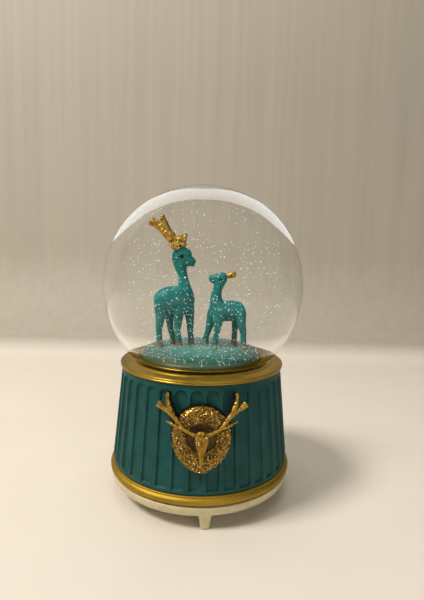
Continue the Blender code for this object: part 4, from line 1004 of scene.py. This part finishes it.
def leaf(shell, centre, along, normal, length, width):
    """One ridged leaf, added to a shell."""
    along = (along - normal * along.dot(normal)).normalized()
    side = normal.cross(along)
    outline = ((0.0, 0.0), (0.25, 0.75), (0.55, 1.0), (0.82, 0.6), (1.0, 0.0))
    left, right, ridge, under = [], [], [], []
    for share, half in outline:
        curl = 0.28 * length * share * share
        spot = centre + along * (length * (share - 0.3)) + normal * curl
        offset = side * (0.5 * width * half)
        left.append(shell.verts.new(spot - offset))
        if half > 0.0:
            right.append(shell.verts.new(spot + offset))
            ridge.append(shell.verts.new(spot + normal * 0.24))
            under.append(shell.verts.new(spot - normal * 0.2))
        else:
            right.append(left[-1])
            ridge.append(left[-1])
            under.append(left[-1])
    for index in range(len(outline) - 1):
        for first, second in ((left, ridge), (ridge, right), (right, under), (under, left)):
            corners = [first[index], first[index + 1], second[index + 1], second[index]]
            corners = list(dict.fromkeys(corners))
            if len(corners) > 2:
                shell.faces.new(corners)


def leaf_wreath():
    rings = []
    for step in range(WREATH_STEPS):
        angle = turn_at(step, WREATH_STEPS)
        ring = []
        for index in range(23):
            across = math.sin(math.pi * (index / 22.0 - 0.5)) * 0.97
            spot = wreath_spot(angle, across)
            lump = noise.cell(spot * 1.3) * 0.15 + noise.noise(spot * 1.7) * 0.4
            edge = 1.0 - 0.6 * abs(across)
            spread = 1.0 + 0.03 * noise.noise(spot * 1.1)
            ring.append(wreath_spot(angle, across * spread, lump * edge - 0.35))
        for across in (0.7, 0.0, -0.7):
            ring.append(wreath_place(angle, WREATH_RING + WREATH_HALF * across, wreath_tall(across),
                                     WREATH_BASE - 0.2))
        rings.append(ring)
    add_piece("wreath_ring", skin(rings, True), gold_leaf, ["medallion_wreath"])
    shell = bmesh.new()
    for index in range(LEAVES):
        angle = 2.0 * math.pi * (index * 0.618034 + 0.3 * chance.random())
        across = chance.uniform(-0.97, 0.97)
        centre = wreath_spot(angle, across, -0.3)
        step_a = wreath_spot(angle + 0.02, across, -0.3) - centre
        step_b = wreath_spot(angle, across + 0.02 * (1.0 if across < 0.9 else -1.0), -0.3) - centre
        normal = step_a.cross(step_b).normalized()
        if normal.y > 0.0:
            normal = -normal
        outward = Vector((math.cos(angle), 0.0, math.sin(angle)))
        tangent = Vector((-math.sin(angle), 0.0, math.cos(angle)))
        way = tangent * chance.choice((-1.0, 1.0)) + outward * chance.gauss(0.5, 0.8)
        normal = (normal + 0.5 * drift(1, 0.3, 1)).normalized()
        leaf(shell, centre, way, normal, chance.uniform(0.7, 1.25), chance.uniform(0.45, 0.75))
    bmesh.ops.recalc_face_normals(shell, faces=shell.faces)
    add_piece("wreath_leaves", shell, gold_leaf, ["medallion_wreath"], 30)


def wreath_backing():
    """Dark rim of painted shadow standing in for the shaded gap behind the wreath; it shows as a line round
    the upper half of the wreath.
    """
    profile = ((8.5, 0.3), (12.6, 0.3), (13.15, 0.5), (13.2, 0.9), (12.8, 1.15), (8.5, 1.15))
    angles = [turn_at(step, 180) for step in range(180)]
    rings = [[wreath_place(angle, reach, 1.06, rise, MEDALLION_Z + 0.45) for reach, rise in profile]
             for angle in angles]
    add_piece("wreath_backing", skin(rings, True), shadow_paint, [])


def recess_plate():
    rows = ((7.9, 0.35), (7.9, 0.9), (7.6, 1.05), (6.0, 1.05), (4.0, 1.0), (2.0, 1.0), (0.4, 1.0))

    def spot(row, turn):
        radius, rise = row
        x, z = radius * math.cos(turn), radius * math.sin(turn)
        pit = 0.08 * noise.noise(Vector((x, z, 0.0)) * 0.9)
        return drum_spot(x + WREATH_X, MEDALLION_Z + z, rise + (pit if rise > 0.95 else 0.0))

    shell = skin(rings_of(rows, 72, spot))
    add_piece("recess_plate", shell, dark_gold, ["medallion_plate"])


HEAD_X = 0.6
HEAD_ROWS = ((45.6, 1.9, 1.0), (44.7, 2.7, 1.4), (43.3, 3.05, 1.6), (41.1, 2.75, 1.55), (39.0, 2.15, 1.4),
             (36.8, 1.55, 1.15), (34.6, 1.1, 0.95), (32.4, 0.85, 0.75), (30.4, 0.65, 0.6))


def head_centre(height, deep):
    return -(drum_radius(height) + WREATH_BASE + WREATH_RISE - 0.15 + deep)


def trophy_head():
    rows = [(HEAD_X, head_centre(height, deep), height, half, deep) for height, half, deep in HEAD_ROWS]
    shells = [tube(rows, 28, 5, 0.7)]
    brow = head_centre(43.4, 1.6)
    for side in (-1.0, 1.0):
        shells.append(ball((HEAD_X + side * 1.9, brow - 0.1, 43.4), (1.1, 1.25, 1.2)))
    ridge = [(HEAD_X - 0.55 * half + 0.2, head_centre(z, deep) - 0.8 * deep, z, 0.6, 0.5)
             for z, half, deep in HEAD_ROWS if 31.0 < z < 43.5]
    shells.append(tube(ridge, 12, 4, 0.6))
    for side in (-1.0, 1.0):
        shells.append(ball((HEAD_X + side * 0.62, head_centre(31.4, 0.8) - 0.3, 31.2), (0.55, 0.5, 0.6), 2))
    tufts = []
    for index in range(110):
        turn = chance.uniform(-1.0, 1.0)
        z = chance.uniform(40.6, 46.0) + 1.2 * turn * turn
        x = HEAD_X + turn * 2.6
        y = head_centre(z, 1.5) - 1.55 * math.sqrt(max(0.05, 1.0 - 0.8 * turn * turn)) - 0.05
        if z < 45.8:
            shells.append(ball((x, y, z), (0.4, 0.38, 0.52), 2))
        tufts.append(Vector((x, max(y - 0.1, -49.4), min(z, 46.0))))
    shell = melted(shells, 0.15, 1)
    for vertex in shell.verts:
        vertex.co.y = max(vertex.co.y, FRONT_LIMIT)
    add_piece("trophy_deer_head", shell, gold_head, ["trophy_head"])
    shell = bmesh.new()
    for spot in tufts:
        facing = Vector((0.5 * (spot.x - HEAD_X) + chance.gauss(0, 0.4), -1.6, chance.gauss(0.3, 0.5)))
        way = Vector((chance.gauss(0, 1), 0.0, chance.gauss(0, 1)))
        leaf(shell, spot, way, facing.normalized(), chance.uniform(0.6, 1.0), chance.uniform(0.4, 0.6))
    bmesh.ops.recalc_face_normals(shell, faces=shell.faces)
    for vertex in shell.verts:
        vertex.co.y = max(vertex.co.y, FRONT_LIMIT)
    add_piece("trophy_crown_leaves", shell, gold_leaf, ["trophy_head"], 30)


BEAM = ((1.8, 44.0, 0.9, 0.2), (4.6, 45.2, 0.75, 0.1), (7.6, 46.7, 0.68, 0.0), (11.0, 47.8, 0.64, 0.1),
        (13.2, 48.6, 0.52, 0.5), (15.3, 49.2, 0.34, 0.9))
RISER = ((7.9, 47.5, 0.5, 0.1), (9.9, 49.4, 0.75, 0.1), (12.5, 52.5, 1.05, 0.4), (14.1, 55.6, 1.0, 0.7),
         (14.8, 58.4, 0.8, 1.0), (14.8, 60.9, 0.66, 1.2))
CUP = ((12.6, 52.0, 0.8, 0.4), (15.0, 53.8, 1.0, 0.8), (17.2, 55.1, 1.25, 1.0), (18.7, 56.0, 1.7, 1.1))


def branch(rows, side, grow=0.0, sink=0.0, lift=0.0, cap=0.6):
    path = []
    for x, height, radius, low in rows:
        spot = drum_spot(HEAD_X + side * x, height + lift, WREATH_BASE + WREATH_RISE + 0.9 - low - sink)
        path.append((*spot, radius + grow, (radius + grow) * 0.85))
    return tube(path, 18, 5, cap)


def trophy_antlers():
    for side, node in ((-1, "trophy_antler_left"), (1, "trophy_antler_right")):
        shells = [branch(BEAM, side), branch(RISER, side, cap=0.9), branch(CUP, side, cap=0.25)]
        x, height, _, low = CUP[-1]
        rim = drum_spot(HEAD_X + side * (x + 0.35), height + 0.25, WREATH_BASE + WREATH_RISE + 1.0 - low)
        shell = melted(shells, 0.17, 2)
        for vertex in shell.verts:
            near = (vertex.co - rim).length
            if near < 1.5:
                vertex.co -= Vector((side * 0.55, -0.35, 0.45)) * (eased(1.5 - near, 0.0, 1.5) * 0.9)
            twist = noise.noise(Vector((vertex.co.x * 2.0, vertex.co.y * 2.0, vertex.co.z * 0.7)))
            vertex.co += (vertex.normal if vertex.normal.length else Vector()) * (0.26 * twist)
        add_piece(node + "_gold", shell, gold_horn, [node])
        # Dark strip of painted shadow along the inner side of the riser, standing in for the shaded gap
        # behind the antler.
        inward = [(x - 0.6, height + 0.35, radius, low) for x, height, radius, low in RISER[1:]]
        inward[0] = (*inward[0][:2], 0.3, 2.6)
        dark = branch(inward, side, 0.3, 1.3)
        add_piece(node + "_backing", melted([dark], 0.25, 2), shadow_paint, [node])


leaf_wreath()
wreath_backing()
recess_plate()
trophy_head()
trophy_antlers()

# ---------------------------------------------------------------- underside fittings

nickel = ground("nickel_plate", (0.48, 0.47, 0.45), (0.66, 0.65, 0.62), (1.0, 1.0, 0.2),
                (0.18, 0.32)).material
steel = ground("ground_steel", (0.40, 0.41, 0.42), (0.60, 0.60, 0.61)).material
brass = ground("turned_brass", (0.55, 0.38, 0.13), (0.76, 0.57, 0.25), (1.0, 1.0, 0.1)).material
zinc = painted("cast_zinc", (0.30, 0.31, 0.32), (0.46, 0.47, 0.48), 3.0, (0.4, 0.6), ((0.5, 0.03),),
               Metallic=0.9).material
nylon = painted("moulded_nylon", (0.62, 0.60, 0.54), (0.76, 0.74, 0.68), 5.0, (0.4, 0.55),
                ((0.5, 0.01),)).material
rubber = painted("matte_rubber", (0.010,) * 3, (0.028, 0.027, 0.026), 4.0, (0.7, 0.9),
                 ((0.4, 0.03),)).material
FINGER_X, FINGER_Z = 6.5, 6.4
FINGER_WIDE, FINGER_TALL = 3.7, 4.4
FINGER_HOLE_X, FINGER_HOLE_Z, FINGER_HOLE = 6.9, 6.6, 1.5


def slotted_heads():
    """Screws in their recesses under the tray."""
    for kind, spots in (("tray_screw", TRAY_SCREWS), ("movement_screw", MOVEMENT_SCREWS)):
        for index, (x, y) in enumerate(spots):
            node = "%s_%d" % (kind, index + 1)
            low, high = extent(node)
            outline = rounded((
                (0.3, low.z, 0.0), (HEAD_RADIUS - 0.1, low.z, 0.5), (HEAD_RADIUS, low.z + 1.5, 0.15),
                (1.3, low.z + 1.5, 0.1), (1.3, high.z - 0.7, 0.2), (0.4, high.z, 0.0),
            ), 0.8, False)
            shell = turned(outline, 48, loop=False)
            slot = bmesh.new()
            bmesh.ops.create_cube(slot, size=1.0)
            turn = Matrix.Rotation(0.9 * index + 0.4, 4, "Z") @ Matrix.Diagonal((0.75, 8.0, 1.6, 1.0))
            bmesh.ops.transform(slot, matrix=Matrix.Translation((0.0, 0.0, low.z)) @ turn, verts=slot.verts)
            shell = carved(shell, [slot])
            bmesh.ops.translate(shell, vec=(x, y, 0.0), verts=shell.verts)
            add_piece(node + "_slotted", shell, nickel, [node], 35)


def winding_key():
    low, high = extent("winding_key")
    hub = ((0.3, low.z, 0.0), (3.3, low.z, 0.5), (3.3, high.z, 0.4), (0.3, high.z, 0.0))
    shells = [turned(rounded(hub, 0.8, False), 48, loop=False)]
    for side in (-1.0, 1.0):
        rings = []
        for depth in (-0.8, -0.55, 0.55, 0.8):
            shrink = 0.25 if abs(depth) > 0.7 else 0.0
            turns = [turn_at(step, 40) for step in range(40)]
            rings.append([Vector((side * FINGER_X + (FINGER_WIDE - shrink) * math.cos(turn), depth,
                                  FINGER_Z + (FINGER_TALL - shrink) * math.sin(turn))) for turn in turns])
        shells.append(skin(rings))
    shell = melted(shells, 0.22, 3)
    for side in (-1.0, 1.0):
        hole = post(FINGER_HOLE, -3.0, 3.0, (0.0, 0.0), 32)
        place = Matrix.Translation((side * FINGER_HOLE_X, 0.0, FINGER_HOLE_Z))
        place = place @ Matrix.Rotation(math.radians(90.0), 4, "X")
        bmesh.ops.transform(hole, matrix=place, verts=hole.verts)
        shell = carved(shell, [hole])
    bmesh.ops.translate(shell, vec=(KEY_X, 0.0, 0.0), verts=shell.verts)
    add_piece("butterfly_key", shell, nickel, ["winding_key"], 40, "winding")


slotted_heads()
winding_key()

CARRIED = {
    "sealing_bung": rubber, "filler_plug": rubber, "movement_bedplate": zinc, "barrel_bridge": zinc,
    "governor_bracket": zinc, "tuned_comb": steel, "comb_screw_1": steel, "comb_screw_2": steel,
    "bracket_screw_1": steel, "bracket_screw_2": steel, "winding_arbor": steel, "spring_barrel": brass,
    "great_wheel": brass, "mainspring": steel, "pinned_cylinder": brass, "cylinder_arbor": steel,
    "cylinder_wheel": brass, "governor_arbor": steel, "governor_wheel": nylon, "fly_worm": steel,
    "air_brake": nylon,
}
for node, look in CARRIED.items():
    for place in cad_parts[node].material_slots:
        place.material = look

# ---------------------------------------------------------------- studio

FLOOR_FRONT, COVE_START, COVE_RADIUS, WALL_TOP = -700.0, 230.0, 120.0, 900.0
SWEEP_HALF = 900.0


def studio_sweep():
    """Pale floor that curves up into a wall, painted lighter towards its foot as painted light."""
    path = [(FLOOR_FRONT, 0.0), (-200.0, 0.0), (COVE_START, 0.0)]
    for step in range(1, 17):
        turn = math.radians(90.0) * step / 16
        path.append((COVE_START + COVE_RADIUS * math.sin(turn), COVE_RADIUS * (1.0 - math.cos(turn))))
    path.append((COVE_START + COVE_RADIUS, WALL_TOP))
    rows = [[Vector((x, y, z)) * MM for x in (-SWEEP_HALF, 0.0, SWEEP_HALF)] for y, z in path]
    made = placed("studio_sweep", open_sheet(rows))
    made.data.shade_smooth()
    look = Look("sweep_paper", Roughness=0.6, Specular_IOR_Level=0.25)
    floor = look.ramp(look.noise(60.0, 3.0), ((0.3, (0.745, 0.695, 0.63)), (0.7, (0.77, 0.72, 0.655))))
    stripes = look.noise(9.0, 3.0, (1.0, 1.0, 0.02))
    wall = look.ramp(stripes, ((0.3, (0.37, 0.34, 0.29)), (0.7, (0.405, 0.375, 0.32))))
    # Painted light: the wall is painted up to 12% lighter low down than higher up.
    wall = look.blend(1.0, wall, look.span(look.upright(), 1.12, 1.0, 0.12, 0.32), "MULTIPLY")
    share = look.span(look.upright(), 0.0, 1.0, 0.004, 0.015)
    look.feed("Base Color", look.blend(share, floor, wall))
    made.data.materials.append(look.material)


def link_to_globe(lit, state):
    """Light the globe alone (INCLUDE), or everything but the globe (EXCLUDE)."""
    group = bpy.data.collections.new(lit.name + "_reach")
    group.objects.link(bpy.data.objects["clear_globe"])
    group.collection_objects[0].light_linking.link_state = state
    lit.light_linking.receiver_collection = group


def lamp(name, place, target, size, power, colour):
    data = bpy.data.lights.new(name, "AREA")
    data.shape = "RECTANGLE"
    data.size, data.size_y = size[0] * MM, size[1] * MM
    data.energy = power
    data.color = colour
    made = bpy.data.objects.new(name, data)
    made.location = Vector(place) * MM
    aim = (Vector(target) - Vector(place)).normalized()
    made.rotation_mode = "QUATERNION"
    made.rotation_quaternion = aim.to_track_quat("-Z", "Y")
    bpy.context.scene.collection.objects.link(made)
    link_to_globe(made, "EXCLUDE")


ARCH_REACH = 330.0
ARCH_NEAR_GLOW, ARCH_FAR_GLOW = 1.05, 3.7
ARCH = ((0.0, 49.8, 76.1), (12.5, 43.9, 74.4), (21.0, 38.1, 72.2), (30.0, 33.5, 69.2), (40.0, 24.9, 65.3),
        (50.0, 24.0, 62.0), (61.0, 24.5, 51.5), (67.0, 27.5, 43.0), (71.0, 30.0, 35.0))


def arch_light():
    """Curved soft light behind the globe; each row is (turn from upright, near and far tilt from +Y)."""
    rows = [(-turn, near, far) for turn, near, far in reversed(ARCH[1:])] + list(ARCH)
    rows = eased_path(rows, 5)
    strips = []
    for turn, near, far in rows:
        side = math.radians(turn)
        strip = []
        for step in range(9):
            tilt = math.radians(near + (far - near) * step / 8)
            way = Vector((math.sin(tilt) * math.sin(side), math.cos(tilt), math.sin(tilt) * math.cos(side)))
            strip.append((way * ARCH_REACH + Vector((0.0, 0.0, GLOBE_CENTRE))) * MM)
        strips.append(strip)
    made = placed("arch_light", open_sheet(strips))
    look = Look("arch_glow")
    parts = look.node("ShaderNodeSeparateXYZ")
    look.link(look.spot, parts.inputs["Vector"])
    ahead = look.sum(parts.outputs["Y"], ARCH_REACH * MM, "DIVIDE")
    glow = look.node("ShaderNodeEmission")
    glow.inputs["Color"].default_value = (0.98, 1.0, 0.99, 1.0)
    look.link(look.span(ahead, ARCH_FAR_GLOW, ARCH_NEAR_GLOW, 0.25, 0.93), glow.inputs["Strength"])
    look.link(glow.outputs[0], look.tree.nodes["Material Output"].inputs["Surface"])
    made.data.materials.append(look.material)
    for ray in ("camera", "diffuse", "transmission", "shadow"):
        setattr(made, "visible_" + ray, False)
    link_to_globe(made, "INCLUDE")


def studio_light():
    centre = (0.0, 0.0, 80.0)
    warm = (1.0, 0.94, 0.85)
    lamp("key_light", (-650.0, -310.0, 910.0), centre, (280.0, 280.0), 11.2, warm)
    lamp("top_light", (40.0, 20.0, 800.0), centre, (700.0, 600.0), 2.2, warm)
    lamp("fill_light", (260.0, -700.0, 330.0), centre, (700.0, 500.0), 1.3, (1.0, 0.95, 0.88))
    arch_light()
    world = bpy.data.worlds.new("studio_air")
    world.use_nodes = True
    tree = world.node_tree
    spot = tree.nodes.new("ShaderNodeTexCoord")
    parts = tree.nodes.new("ShaderNodeSeparateXYZ")
    fade = tree.nodes.new("ShaderNodeMapRange")
    tree.links.new(spot.outputs["Generated"], parts.inputs["Vector"])
    tree.links.new(parts.outputs["Z"], fade.inputs["Value"])
    for key, value in (("From Min", -0.1), ("From Max", 0.6), ("To Min", 0.19), ("To Max", 0.125)):
        fade.inputs[key].default_value = value
    back = tree.nodes["Background"]
    back.inputs["Color"].default_value = (0.60, 0.55, 0.46, 1.0)
    tree.links.new(fade.outputs["Result"], back.inputs["Strength"])
    bpy.context.scene.world = world


CAMERA_PLACE = (-0.1, -221.4, 122.14)
CAMERA_PITCH, CAMERA_YAW, CAMERA_ROLL = math.radians(6.61), math.radians(1.21), math.radians(1.32)
CAMERA_LENS = 26.1


def camera():
    data = bpy.data.cameras.new("camera")
    data.sensor_width = 36.0
    data.lens = CAMERA_LENS
    data.clip_start = 0.01
    ahead = Vector((math.sin(CAMERA_YAW) * math.cos(CAMERA_PITCH),
                    math.cos(CAMERA_YAW) * math.cos(CAMERA_PITCH), -math.sin(CAMERA_PITCH)))
    level = Vector((math.cos(CAMERA_YAW), -math.sin(CAMERA_YAW), 0.0))
    upward = level.cross(ahead)
    right = level * math.cos(CAMERA_ROLL) + upward * math.sin(CAMERA_ROLL)
    top = upward * math.cos(CAMERA_ROLL) - level * math.sin(CAMERA_ROLL)
    turn = Matrix((right, top, -ahead)).transposed().to_4x4()
    made = bpy.data.objects.new("camera", data)
    made.matrix_world = Matrix.Translation(Vector(CAMERA_PLACE) * MM) @ turn
    bpy.context.scene.collection.objects.link(made)
    bpy.context.scene.camera = made


studio_sweep()
studio_light()
camera()
bpy.context.scene.view_settings.view_transform = "Standard"
